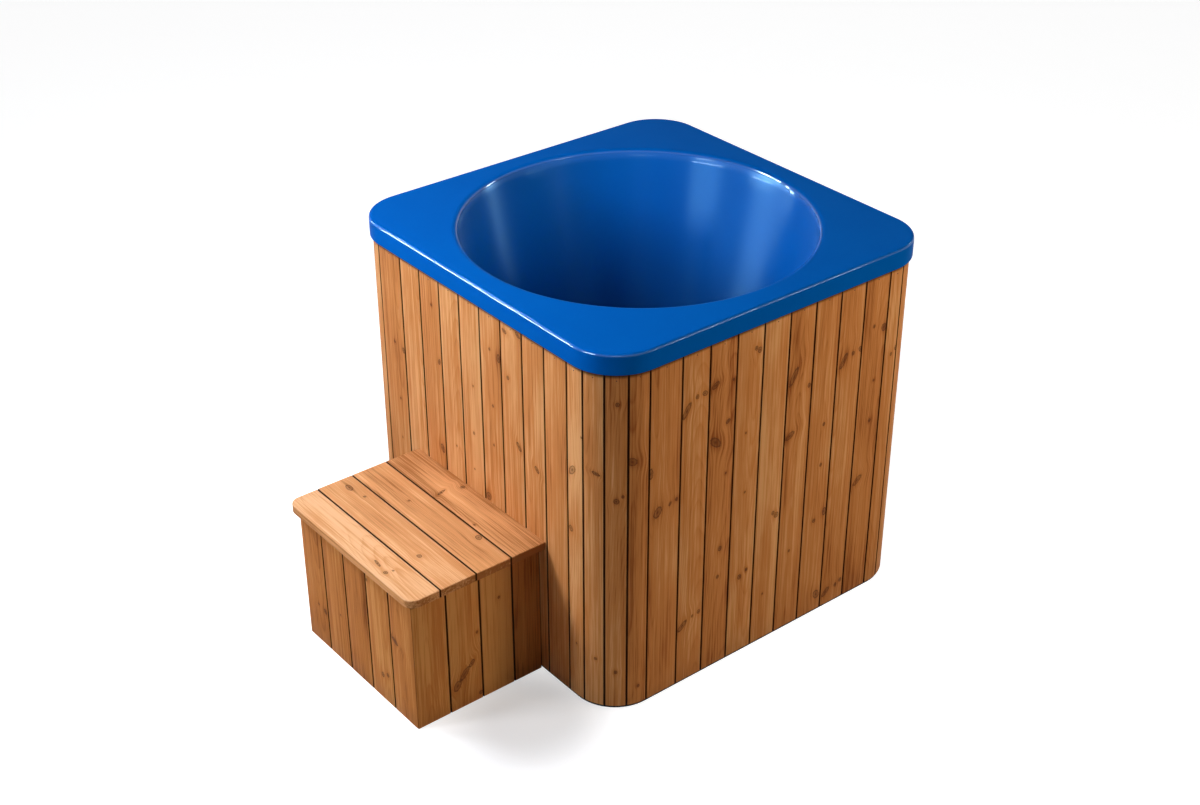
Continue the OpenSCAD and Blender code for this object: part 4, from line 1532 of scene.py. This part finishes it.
CASING_KNOTS: dict[Side, tuple[Knot, ...]] = {
    Side.FRONT: knots(
        (-0.334, 0.715, 0.006, 10, 1.6), (-0.375, 0.726, 0.004), (-0.364, 0.552, 0.003),
        (-0.367, 0.424, 0.0025), (-0.166, 0.486, 0.010, 25, 1.5), (-0.161, 0.756, 0.006, -20, 1.6),
        (-0.186, 0.915, 0.0035), (-0.097, 0.527, 0.003), (-0.009, 0.752, 0.003), (-0.014, 0.607, 0.004),
        (-0.017, 0.494, 0.0025), (0.044, 0.440, 0.012, -35, 1.2), (0.077, 0.732, 0.004),
        (0.075, 0.614, 0.0035), (0.108, 0.884, 0.008, 0, 1.7), (0.070, 0.895, 0.004),
        (0.146, 0.846, 0.0055, 0, 1.2), (0.191, 0.986, 0.006, 60, 2.0), (0.136, 0.974, 0.006, 70, 1.8),
        (0.185, 0.662, 0.007, 40, 2.2), (0.259, 0.630, 0.007, 50, 1.8), (0.396, 0.527, 0.008, 20, 1.3),
        (0.403, 0.703, 0.010, -35, 1.9), (0.437, 0.811, 0.0025), (0.478, 0.722, 0.005, 70, 2.6),
        (0.414, 0.177, 0.003), (0.476, 0.156, 0.005, 0, 1.0), (0.531, 0.921, 0.006, 0, 1.1),
        (0.529, 0.648, 0.008, 30, 1.1), (0.545, 0.661, 0.004), (0.529, 0.120, 0.005),
        (0.568, 0.758, 0.012, 60, 1.3), (0.590, 0.064, 0.0045),
    ),
    Side.RIGHT: knots(
        (-0.409, 0.706, 0.008, 0, 2.2), (-0.385, 0.584, 0.013, -30, 1.5),
        (-0.345, 0.593, 0.0045, -30, 1.6), (-0.324, 0.598, 0.005), (-0.264, 0.870, 0.006),
        (-0.239, 0.871, 0.008, 60, 1.3), (-0.297, 0.842, 0.009, -30, 3.0), (-0.260, 0.205, 0.004),
        (-0.238, 0.209, 0.006), (-0.294, 0.188, 0.009, -45, 2.4), (-0.205, 0.880, 0.009, -60, 1.7),
        (-0.199, 0.714, 0.013, 45, 1.9), (-0.170, 0.380, 0.007), (-0.175, 0.292, 0.006, 0, 1.0),
        (-0.159, 0.761, 0.006, -50, 1.5), (-0.146, 0.876, 0.004), (-0.160, 0.608, 0.003),
        (-0.061, 0.929, 0.008, 0, 1.2), (-0.073, 0.938, 0.006), (-0.096, 0.255, 0.007, 0, 1.3),
        (-0.072, 0.268, 0.005), (-0.096, 0.702, 0.003), (-0.090, 0.521, 0.0035),
        (0.028, 0.400, 0.009, 0, 1.1), (0.016, 0.410, 0.006), (-0.007, 0.158, 0.003),
        (0.064, 0.806, 0.010, -28, 3.2), (0.062, 0.631, 0.010, -60, 1.9), (0.121, 0.761, 0.006),
        (0.085, 0.258, 0.004), (0.186, 0.619, 0.005), (0.185, 0.493, 0.005),
        (0.211, 0.333, 0.008, 0, 1.8), (0.173, 0.318, 0.006), (0.202, 0.058, 0.012, 20, 1.4),
        (0.277, 0.800, 0.006), (0.305, 0.803, 0.008, 50, 1.4), (0.243, 0.788, 0.009, -30, 3.0),
        (0.278, 0.056, 0.006), (0.296, 0.065, 0.006), (0.240, 0.048, 0.009, -45, 2.2),
        (0.387, 0.840, 0.010, 0, 1.3), (0.350, 0.854, 0.005), (0.362, 0.563, 0.005),
        (0.365, 0.687, 0.0035), (0.333, 0.383, 0.010, -50, 2.2), (0.425, 0.745, 0.005),
        (0.445, 0.757, 0.007),
    ),
}
# Tones of each side's boards and then its corner staves, which differ board by board; the front's four
# corner staves grow darker towards the right side, partly as painted shade round the corner
CASING_TONES_AND_SHADE: dict[Side, tuple[float, ...]] = {
    Side.FRONT: (0.14, -0.12, 0.07, -0.06, -0.14, 0.0, 0.0, 0.0, 0.12, -0.18, -0.1, 0.08, 0.22),
    Side.RIGHT: (0.08, 0.0, 0.26, -0.1, -0.22, 0.08, 0.08, 0.0, 0.28),
}


@dataclass(frozen=True)
class Row:
    """One row of the step's upright boards.

    Mitres say whether its first and last edges meet another row, and joints are measured from the
    start of its wall.
    """

    side: str
    wall: Wall
    joints: list[float]
    mitres: tuple[bool, bool]
    knots: tuple[Knot, ...]
    seed: int
    tones: tuple[float, ...] = ()


@dataclass
class Step:
    """The loose entry step: front and side boards and four tread boards."""

    front: float
    back: float
    half: float
    low: float
    high: float
    thickness: float
    treads: list[tuple[Vector, Vector]]
    front_count: int = 5
    side_board: float = 0.1025
    gap: float = 0.002
    mitre_gap: float = 0.0004
    tread_corner: float = 0.032
    front_rounding: float = 0.0025
    tread_rounding: float = 0.0015

    DRAW = 23
    TONE_SPREAD = 0.08
    # Seeds of the first boards of the front, right and left rows, and from board to board
    ROW_SEEDS = (40, 50, 60)
    SEED_STEP = 0.61
    TREAD_SEEDS = (70, 0.83)
    BOARD_CUTS = 6
    TREAD_CUTS = 8
    FRONT_TONES = (0.14, 0.0, 0.16, -0.04, 0.1)
    # Tones of the step's right side from front to back: they differ board by board, and the last board,
    # beside the tub, is darkened as painted shade
    RIGHT_TONES_AND_SHADE = (-0.04, -0.08, -0.3, 0.3)
    # The left side repeats some of the right side's knots, further back and upside down
    LEFT_KNOTS_FROM = 3
    LEFT_KNOT_SHIFT = 0.02
    LEFT_KNOT_Z = 0.35

    @classmethod
    def from_frame(cls) -> "Step":
        """Takes the step's sizes from its CAD nodes."""
        low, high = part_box("step_front_boards")
        side_low, side_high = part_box("step_right_boards")
        names = sorted(name for name in frame["nodes"] if name.startswith("step_tread_"))
        return cls(
            front=low[1],
            back=side_high[1] + cls.gap / 2,
            half=side_high[0],
            low=low[2],
            high=high[2],
            thickness=high[1] - low[1],
            treads=[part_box(name) for name in names],
        )

    FRONT_KNOTS = knots(
        (-0.173, 0.121, 0.007, 20, 1.3), (-0.205, 0.128, 0.003), (-0.091, 0.158, 0.003),
        (0.106, 0.083, 0.007), (0.130, 0.095, 0.006), (0.178, 0.236, 0.007, 60, 2.4),
        (0.060, 0.360, 0.004),
    )
    SIDE_KNOTS = knots(
        (0.126, 0.079, 0.012, -25, 1.6), (0.150, 0.108, 0.010, -38, 2.6),
        (0.173, 0.131, 0.007, -38, 2.2), (0.197, 0.022, 0.006), (0.193, 0.222, 0.004),
        (0.265, 0.299, 0.004),
    )
    # Tones of the treads from front to back: they darken towards the tub, partly as painted shade beside it
    TREAD_TONES_AND_SHADE = (-0.22, 0.02, 0.12, 0.36)
    TREAD_KNOTS = (
        knots((0.0263, 0.431, 0.006, 0, 1.2), (0.046, 0.436, 0.003), (0.0323, 0.385, 0.004, 8, 4.5)),
        knots((0.069, 0.048, 0.009, 5, 2.0), (0.039, 0.425, 0.007), (0.078, 0.11, 0.004)),
        knots((0.095, 0.453, 0.009, 15, 1.4), (0.05, 0.2, 0.003)),
        knots((0.0895, 0.236, 0.0065, 0, 1.1), (0.0305, 0.221, 0.0045, 72, 4.0), (0.012, 0.40, 0.003)),
    )

    def build(self) -> None:
        """Builds the step's boards."""
        material = STEP_FINISH.material()
        draw = random.Random(self.DRAW)
        width = 2 * self.half / self.front_count
        depth = self.back - self.front
        sides = [min(i * self.side_board, depth) for i in range(math.ceil(depth / self.side_board) + 1)]
        x, y = Vector((1, 0, 0)), Vector((0, 1, 0))
        left_corner = Vector((-self.half, self.front, self.low))
        right_corner = Vector((self.half, self.front, self.low))
        fronts = [i * width for i in range(self.front_count + 1)]
        moved = tuple(knot.moved(self.half) for knot in self.FRONT_KNOTS)
        turned = tuple(
            replace(knot.moved(self.LEFT_KNOT_SHIFT), z=self.LEFT_KNOT_Z - knot.z)
            for knot in self.SIDE_KNOTS[self.LEFT_KNOTS_FROM:]
        )
        front = Wall(left_corner, x, y, UP)
        right = Wall(right_corner, y, -x, UP)
        left = Wall(left_corner, y, x, UP)
        front_seed, right_seed, left_seed = self.ROW_SEEDS
        for row in (
            Row("front", front, fronts, (True, True), moved, front_seed, self.FRONT_TONES),
            Row("right", right, sides, (True, False), self.SIDE_KNOTS, right_seed, self.RIGHT_TONES_AND_SHADE),
            Row("left", left, sides, (True, False), turned, left_seed),
        ):
            self.build_row(row, material, draw)
        self.build_treads()

    def build_row(self, row: Row, material: bpy.types.Material, draw: random.Random) -> None:
        """Builds one row of upright boards.

        Args:
            row: The row.
            material: Its material.
            draw: Where random tones come from.
        """
        piece = Piece("step_boards_" + row.side)
        last = len(row.joints) - 2
        for i, (s0, s1) in enumerate(pairwise(row.joints)):
            first_mitre = row.mitres[0] and i == 0
            last_mitre = row.mitres[1] and i == last
            start = s0 + (self.mitre_gap if first_mitre else self.gap / 2)
            end = s1 - (self.mitre_gap if last_mitre else self.gap / 2)
            known = row.tones[i] if i < len(row.tones) else 0.0
            board = Board(
                width=end - start,
                length=self.high - self.low,
                thickness=self.thickness,
                seed=row.seed + self.SEED_STEP * i,
                tone=draw.uniform(-self.TONE_SPREAD, self.TONE_SPREAD) + known,
                cuts_along=self.BOARD_CUTS,
                joints=(not first_mitre, not last_mitre),
                groove=i > 0,
                tongue=i < last,
                mitre_start=first_mitre,
                mitre_end=last_mitre,
                knots=tuple(knot.moved(-start, -self.low) for knot in row.knots if s0 < knot.s < s1),
            )
            piece.take(board.build(), row.wall.at(start))
        piece.finish("step", "step_boards", material, [f"step_{row.side}_boards"])

    def build_treads(self) -> None:
        """Builds the four lying boards of the tread, of which the first has rounded corners."""
        material = TREAD_FINISH.material()
        seed, seed_step = self.TREAD_SEEDS
        for i, (low, high) in enumerate(self.treads):
            front = i == 0
            corner = self.tread_corner if front else 0.0
            board = Board(
                width=high[1] - low[1],
                length=high[0] - low[0],
                thickness=high[2] - low[2],
                seed=seed + seed_step * i,
                tone=self.TREAD_TONES_AND_SHADE[i],
                joints=(not front, i < len(self.treads) - 1),
                rounding=self.front_rounding if front else self.tread_rounding,
                cuts_along=1 if front else self.TREAD_CUTS,
                sway=0.0 if front else Board.sway,
                round_corner_start=corner,
                round_corner_end=corner,
                knots=self.TREAD_KNOTS[i],
            )
            lying = Wall(Vector((low[0], low[1], high[2])), Vector((0, 1, 0)), -UP, Vector((1, 0, 0)))
            piece = Piece(f"tread_board_{i + 1}")
            piece.take(board.build(), lying.at(0.0))
            piece.finish("step", "tread_boards", material, [f"step_tread_{i + 1}"])


class Hardware:
    """Finishes of the CAD nodes that stay: frame, foam, base, drain and valve."""

    FINISHES = {
        "base_black": MottleFinish(
            "base_plate_black", specular=0.08, scale=30.0, roughness=0.6, relief=0.0002,
            main=grey(0.008), second=rgb(0.014, 0.013, 0.012),
        ),
        "plywood": TimberFinish("ring_plywood", specular=0.3, grain=(9.0, 9.0, 700.0)),
        "frame_timber": TimberFinish("frame_pine", specular=0.3),
        "foam": MottleFinish(
            "jacket_foam", specular=0.1, scale=90.0, roughness=0.9, relief=0.001,
            main=rgb(0.8, 0.75, 0.58), second=rgb(0.7, 0.62, 0.42),
        ),
        "steel": MottleFinish(
            "fitting_steel", metallic=1.0, scale=60.0, roughness=0.3, relief=0.00004,
            main=rgb(0.56, 0.57, 0.58), second=rgb(0.46, 0.46, 0.47),
        ),
        "ball_steel": MottleFinish(
            "ball_steel", metallic=1.0, scale=40.0, roughness=0.12, roughness_spread=0.03, relief=0.00001,
            main=rgb(0.75, 0.76, 0.78), second=rgb(0.7, 0.7, 0.72),
        ),
        "valve_brass": MottleFinish(
            "valve_brass", metallic=1.0, scale=70.0, roughness=0.32, roughness_spread=0.12, relief=0.00008,
            main=rgb(0.62, 0.44, 0.17), second=rgb(0.42, 0.27, 0.09),
        ),
        "seat_plastic": MottleFinish(
            "seat_plastic", specular=0.4, scale=50.0, roughness=0.45,
            main=rgb(0.85, 0.85, 0.83), second=rgb(0.78, 0.78, 0.75),
        ),
        "gasket_rubber": MottleFinish(
            "gasket_rubber", specular=0.3, scale=80.0, roughness=0.7, relief=0.0002,
            main=grey(0.02), second=rgb(0.035, 0.034, 0.033),
        ),
        "pipe_plastic": MottleFinish(
            "pipe_plastic", specular=0.4, scale=30.0, roughness=0.35,
            main=rgb(0.62, 0.63, 0.64), second=rgb(0.55, 0.56, 0.57),
        ),
        "grip_red": MottleFinish(
            "grip_red", specular=0.4, scale=120.0, roughness=0.38, relief=0.0001,
            main=rgb(0.5, 0.02, 0.015), second=rgb(0.4, 0.015, 0.012),
        ),
        "screw_zinc": MottleFinish(
            "screw_zinc", metallic=1.0, scale=300.0, roughness=0.35,
            main=rgb(0.62, 0.63, 0.63), second=rgb(0.5, 0.49, 0.42),
        ),
    }

    def build(self) -> None:
        """Gives each CAD node that stays the finish of its slot."""
        materials = {slot: finish.material() for slot, finish in self.FINISHES.items()}
        for part in frame["record"]["subparts"]:
            material = materials.get(part["material_slot"])
            if not material:
                continue
            node = frame["nodes"][part["node"]]
            for holder in node.material_slots:
                holder.material = material
            if not node.material_slots:
                node.data.materials.append(material)
            LOG.info("%s: %s", part["node"], material.name)


# Colours of the lamps: daylight, evening light and the blue of the gelcoat's highlights
COOL = (0.96, 1.03, 1.18)
WARM = (1.05, 0.94, 0.8)
ICE = (0.6, 0.95, 1.25)


class Gives(Enum):
    """What a lamp adds: even light, or a highlight on glossy surfaces."""

    LIGHT = "light"
    HIGHLIGHT = "highlight"


@dataclass(frozen=True)
class Lamp:
    """An area lamp that looks at a point of the tub.

    The level is what it adds to a white surface that faces it.
    """

    name: str
    azimuth: float
    elevation: float
    distance: float
    width: float
    height: float
    level: float
    colour: tuple[float, float, float] = (1.0, 1.0, 1.0)
    target: tuple[float, float, float] = (0.0, 0.0, 0.6)
    gives: Gives = Gives.LIGHT

    @classmethod
    def highlight(cls, name: str, *form: float) -> "Lamp":
        """A lamp that draws a highlight on the gelcoat.

        Args:
            name: Its name.
            *form: Azimuth, elevation, distance, width, height and level.

        Returns:
            The lamp, which looks at the bowl's mouth.
        """
        return cls(name, *form, colour=ICE, target=(0.0, 0.0, 1.0), gives=Gives.HIGHLIGHT)

    def build(self) -> None:
        """Adds the lamp to the scene."""
        azimuth, elevation = math.radians(self.azimuth), math.radians(self.elevation)
        flat = math.cos(elevation)
        towards = Vector((flat * math.cos(azimuth), flat * math.sin(azimuth), math.sin(elevation)))
        data = bpy.data.lights.new(self.name, "AREA")
        data.shape = "RECTANGLE"
        data.size = self.width
        data.size_y = self.height
        data.color = self.colour
        data.energy = self.level * math.pi**2 * self.distance**2
        lamp = bpy.data.objects.new(self.name, data)
        lamp.matrix_world = (
            Matrix.Translation(Vector(self.target) + towards * self.distance)
            @ towards.to_track_quat("Z", "Y").to_matrix().to_4x4()
        )
        lamp.visible_camera = False
        lamp.visible_glossy = self.gives is Gives.HIGHLIGHT
        lamp.visible_diffuse = self.gives is Gives.LIGHT
        bpy.context.scene.collection.objects.link(lamp)


@dataclass
class Studio:
    """Floor, lamps, world and camera.

    The floor's glow is turned down round a spot in the corner between step and tub, which paints a shadow
    on the floor there. The camera's place, turn and focal length come from a fit to the photograph.
    """

    floor_half: float = 30.0
    floor_z: float = -0.0003
    floor_level: float = 0.45
    floor_glow: float = 0.91
    # Painted shadow on the floor: near the corner between step and tub the glow drops to the lower level,
    # and fades back over the reach
    painted_shadow_glow: float = 0.42
    painted_shadow_centre: tuple[float, float, float] = (0.42, -0.7, 0.0)
    painted_shadow_reach: tuple[float, float] = (0.08, 0.35)
    ambient: float = 0.06
    lamps: tuple[Lamp, ...] = (
        Lamp("key_high_left", -122, 48, 2.6, 0.6, 0.6, 0.63, COOL, target=(-0.1, -0.3, 0.8)),
        Lamp("front_soft", -104, 25, 4.0, 0.8, 0.8, 0.39, COOL),
        Lamp("right_soft", 22, 16, 3.1, 0.9, 0.9, 0.35, WARM, target=(0, 0, 0.9)),
        Lamp("right_back", 46, 37, 4.5, 0.6, 0.4, 0.115, WARM, target=(0, 0, 0.9)),
        Lamp("top_front", -80, 62, 1.7, 0.9, 0.9, 0.33, target=(0, -0.35, 1)),
        Lamp.highlight("front_patch", -87, 12, 4.5, 1.7, 0.45, 0.85),
        Lamp.highlight("front_lens", -88, 30, 4.5, 0.9, 0.5, 0.16),
        Lamp.highlight("streak_low", -158, 8, 4.0, 0.2, 0.5, 0.19),
        Lamp.highlight("streak_middle", -154, 17, 4.0, 0.2, 0.55, 0.29),
        Lamp.highlight("streak_high", -150, 28, 4.0, 0.2, 0.6, 1.1),
        Lamp.highlight("streak_top", -147, 40, 4.0, 0.2, 0.8, 3.2),
        Lamp.highlight("left_line", -129, 3, 4.0, 1.3, 0.25, 1.2),
        Lamp.highlight("right_line", 32, 3, 4.5, 1.2, 0.14, 0.13),
        Lamp.highlight("right_lens", 22, 46, 4.0, 0.7, 0.3, 0.14),
        Lamp.highlight("lip_back", 77, 22, 4.0, 0.35, 1.0, 0.7),
        Lamp.highlight("camera_line", -42, 27, 5.0, 1.3, 0.15, 0.06),
    )
    azimuth: float = 51.19
    elevation: float = 30.87
    roll: float = -0.08
    focal_px: float = 1827.38
    image_width: float = 1200.0
    sensor: float = 36.0
    eye: tuple[float, float, float] = (3.35348, -2.82794, 3.1247)
    clip_end: float = 200.0

    def build(self) -> None:
        """Builds the studio round the object."""
        self.build_floor()
        self.build_world()
        for lamp in self.lamps:
            lamp.build()
        self.build_camera()
        LOG.info("studio: floor, world, camera and %d lamps", len(self.lamps))

    def background_ray(self, graph: Graph) -> Socket:
        """1 where a camera, glossy or transmission ray looks at the background."""
        path = graph.node("ShaderNodeLightPath")
        seen = graph.most(path.outputs["Is Camera Ray"], path.outputs["Is Glossy Ray"])
        return graph.most(seen, path.outputs["Is Transmission Ray"])

    def build_floor(self) -> None:
        """A wide pale floor that keeps the object's soft shadow, with a painted shadow between step and
        tub.
        """
        bm = bmesh.new()
        bmesh.ops.create_grid(bm, x_segments=1, y_segments=1, size=self.floor_half)
        bmesh.ops.translate(bm, vec=(0, 0, self.floor_z), verts=bm.verts)
        mesh = bpy.data.meshes.new("studio_floor")
        bm.to_mesh(mesh)
        bm.free()
        material = bpy.data.materials.new("studio_floor")
        material.use_nodes = True
        graph = Graph(material.node_tree)
        graph.tree.nodes.clear()
        matte = graph.node("ShaderNodeBsdfDiffuse")
        matte.inputs["Color"].default_value = grey(self.floor_level)
        glow = graph.node("ShaderNodeEmission")
        # Painted shadow: the glow is lower near the corner between step and tub
        away = graph.node("ShaderNodeVectorMath", operation="DISTANCE")
        graph.feed(away.inputs[0], graph.object_place())
        graph.feed(away.inputs[1], self.painted_shadow_centre)
        level = graph.fade(away.outputs["Value"], *self.painted_shadow_reach, self.painted_shadow_glow, self.floor_glow)
        graph.feed(glow.inputs["Strength"], graph.times(self.background_ray(graph), level))
        both = graph.node("ShaderNodeAddShader")
        graph.feed(both.inputs[0], matte.outputs[0])
        graph.feed(both.inputs[1], glow.outputs[0])
        graph.feed(graph.node("ShaderNodeOutputMaterial").inputs["Surface"], both.outputs[0])
        mesh.materials.append(material)
        floor = bpy.data.objects.new("studio_floor", mesh)
        bpy.context.scene.collection.objects.link(floor)

    def build_world(self) -> None:
        """A dim even light, which cameras and reflections see as white."""
        world = bpy.data.worlds.new("studio_world")
        bpy.context.scene.world = world
        world.use_nodes = True
        graph = Graph(world.node_tree)
        graph.tree.nodes.clear()
        back = graph.node("ShaderNodeBackground")
        back.inputs["Color"].default_value = grey(1)
        strength = graph.add(self.ambient, graph.times(self.background_ray(graph), 1.0 - self.ambient))
        graph.feed(back.inputs["Strength"], strength)
        graph.feed(graph.node("ShaderNodeOutputWorld").inputs["Surface"], back.outputs[0])

    def build_camera(self) -> None:
        """The camera at the photograph's viewing angle."""
        a, e, r = (math.radians(value) for value in (self.azimuth, self.elevation, self.roll))
        back = Vector((math.sin(a) * math.cos(e), -math.cos(a) * math.cos(e), math.sin(e)))
        right = (-back).cross(UP).normalized()
        up = right.cross(-back)
        level_right = right * math.cos(r) + up * math.sin(r)
        level_up = up * math.cos(r) - right * math.sin(r)
        data = bpy.data.cameras.new("photo_camera")
        data.sensor_fit = "HORIZONTAL"
        data.sensor_width = self.sensor
        data.lens = self.focal_px / self.image_width * self.sensor
        data.clip_end = self.clip_end
        camera = bpy.data.objects.new("photo_camera", data)
        turn = Matrix((level_right, level_up, back)).transposed().to_4x4()
        camera.matrix_world = Matrix.Translation(self.eye) @ turn
        bpy.context.scene.collection.objects.link(camera)
        bpy.context.scene.camera = camera


def write_sizes() -> None:
    """Updates the view layer."""
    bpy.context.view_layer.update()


def main() -> None:
    """Builds the tub, the step, the hardware's finishes and the studio."""
    logging.basicConfig(level=logging.INFO, format="%(name)s: %(message)s")
    bpy.context.scene.view_settings.view_transform = "Standard"
    Liner.from_frame().build()
    Casing.from_frame().build()
    Step.from_frame().build()
    Hardware().build()
    Studio().build()
    write_sizes()


if __name__ == "__main__":
    main()
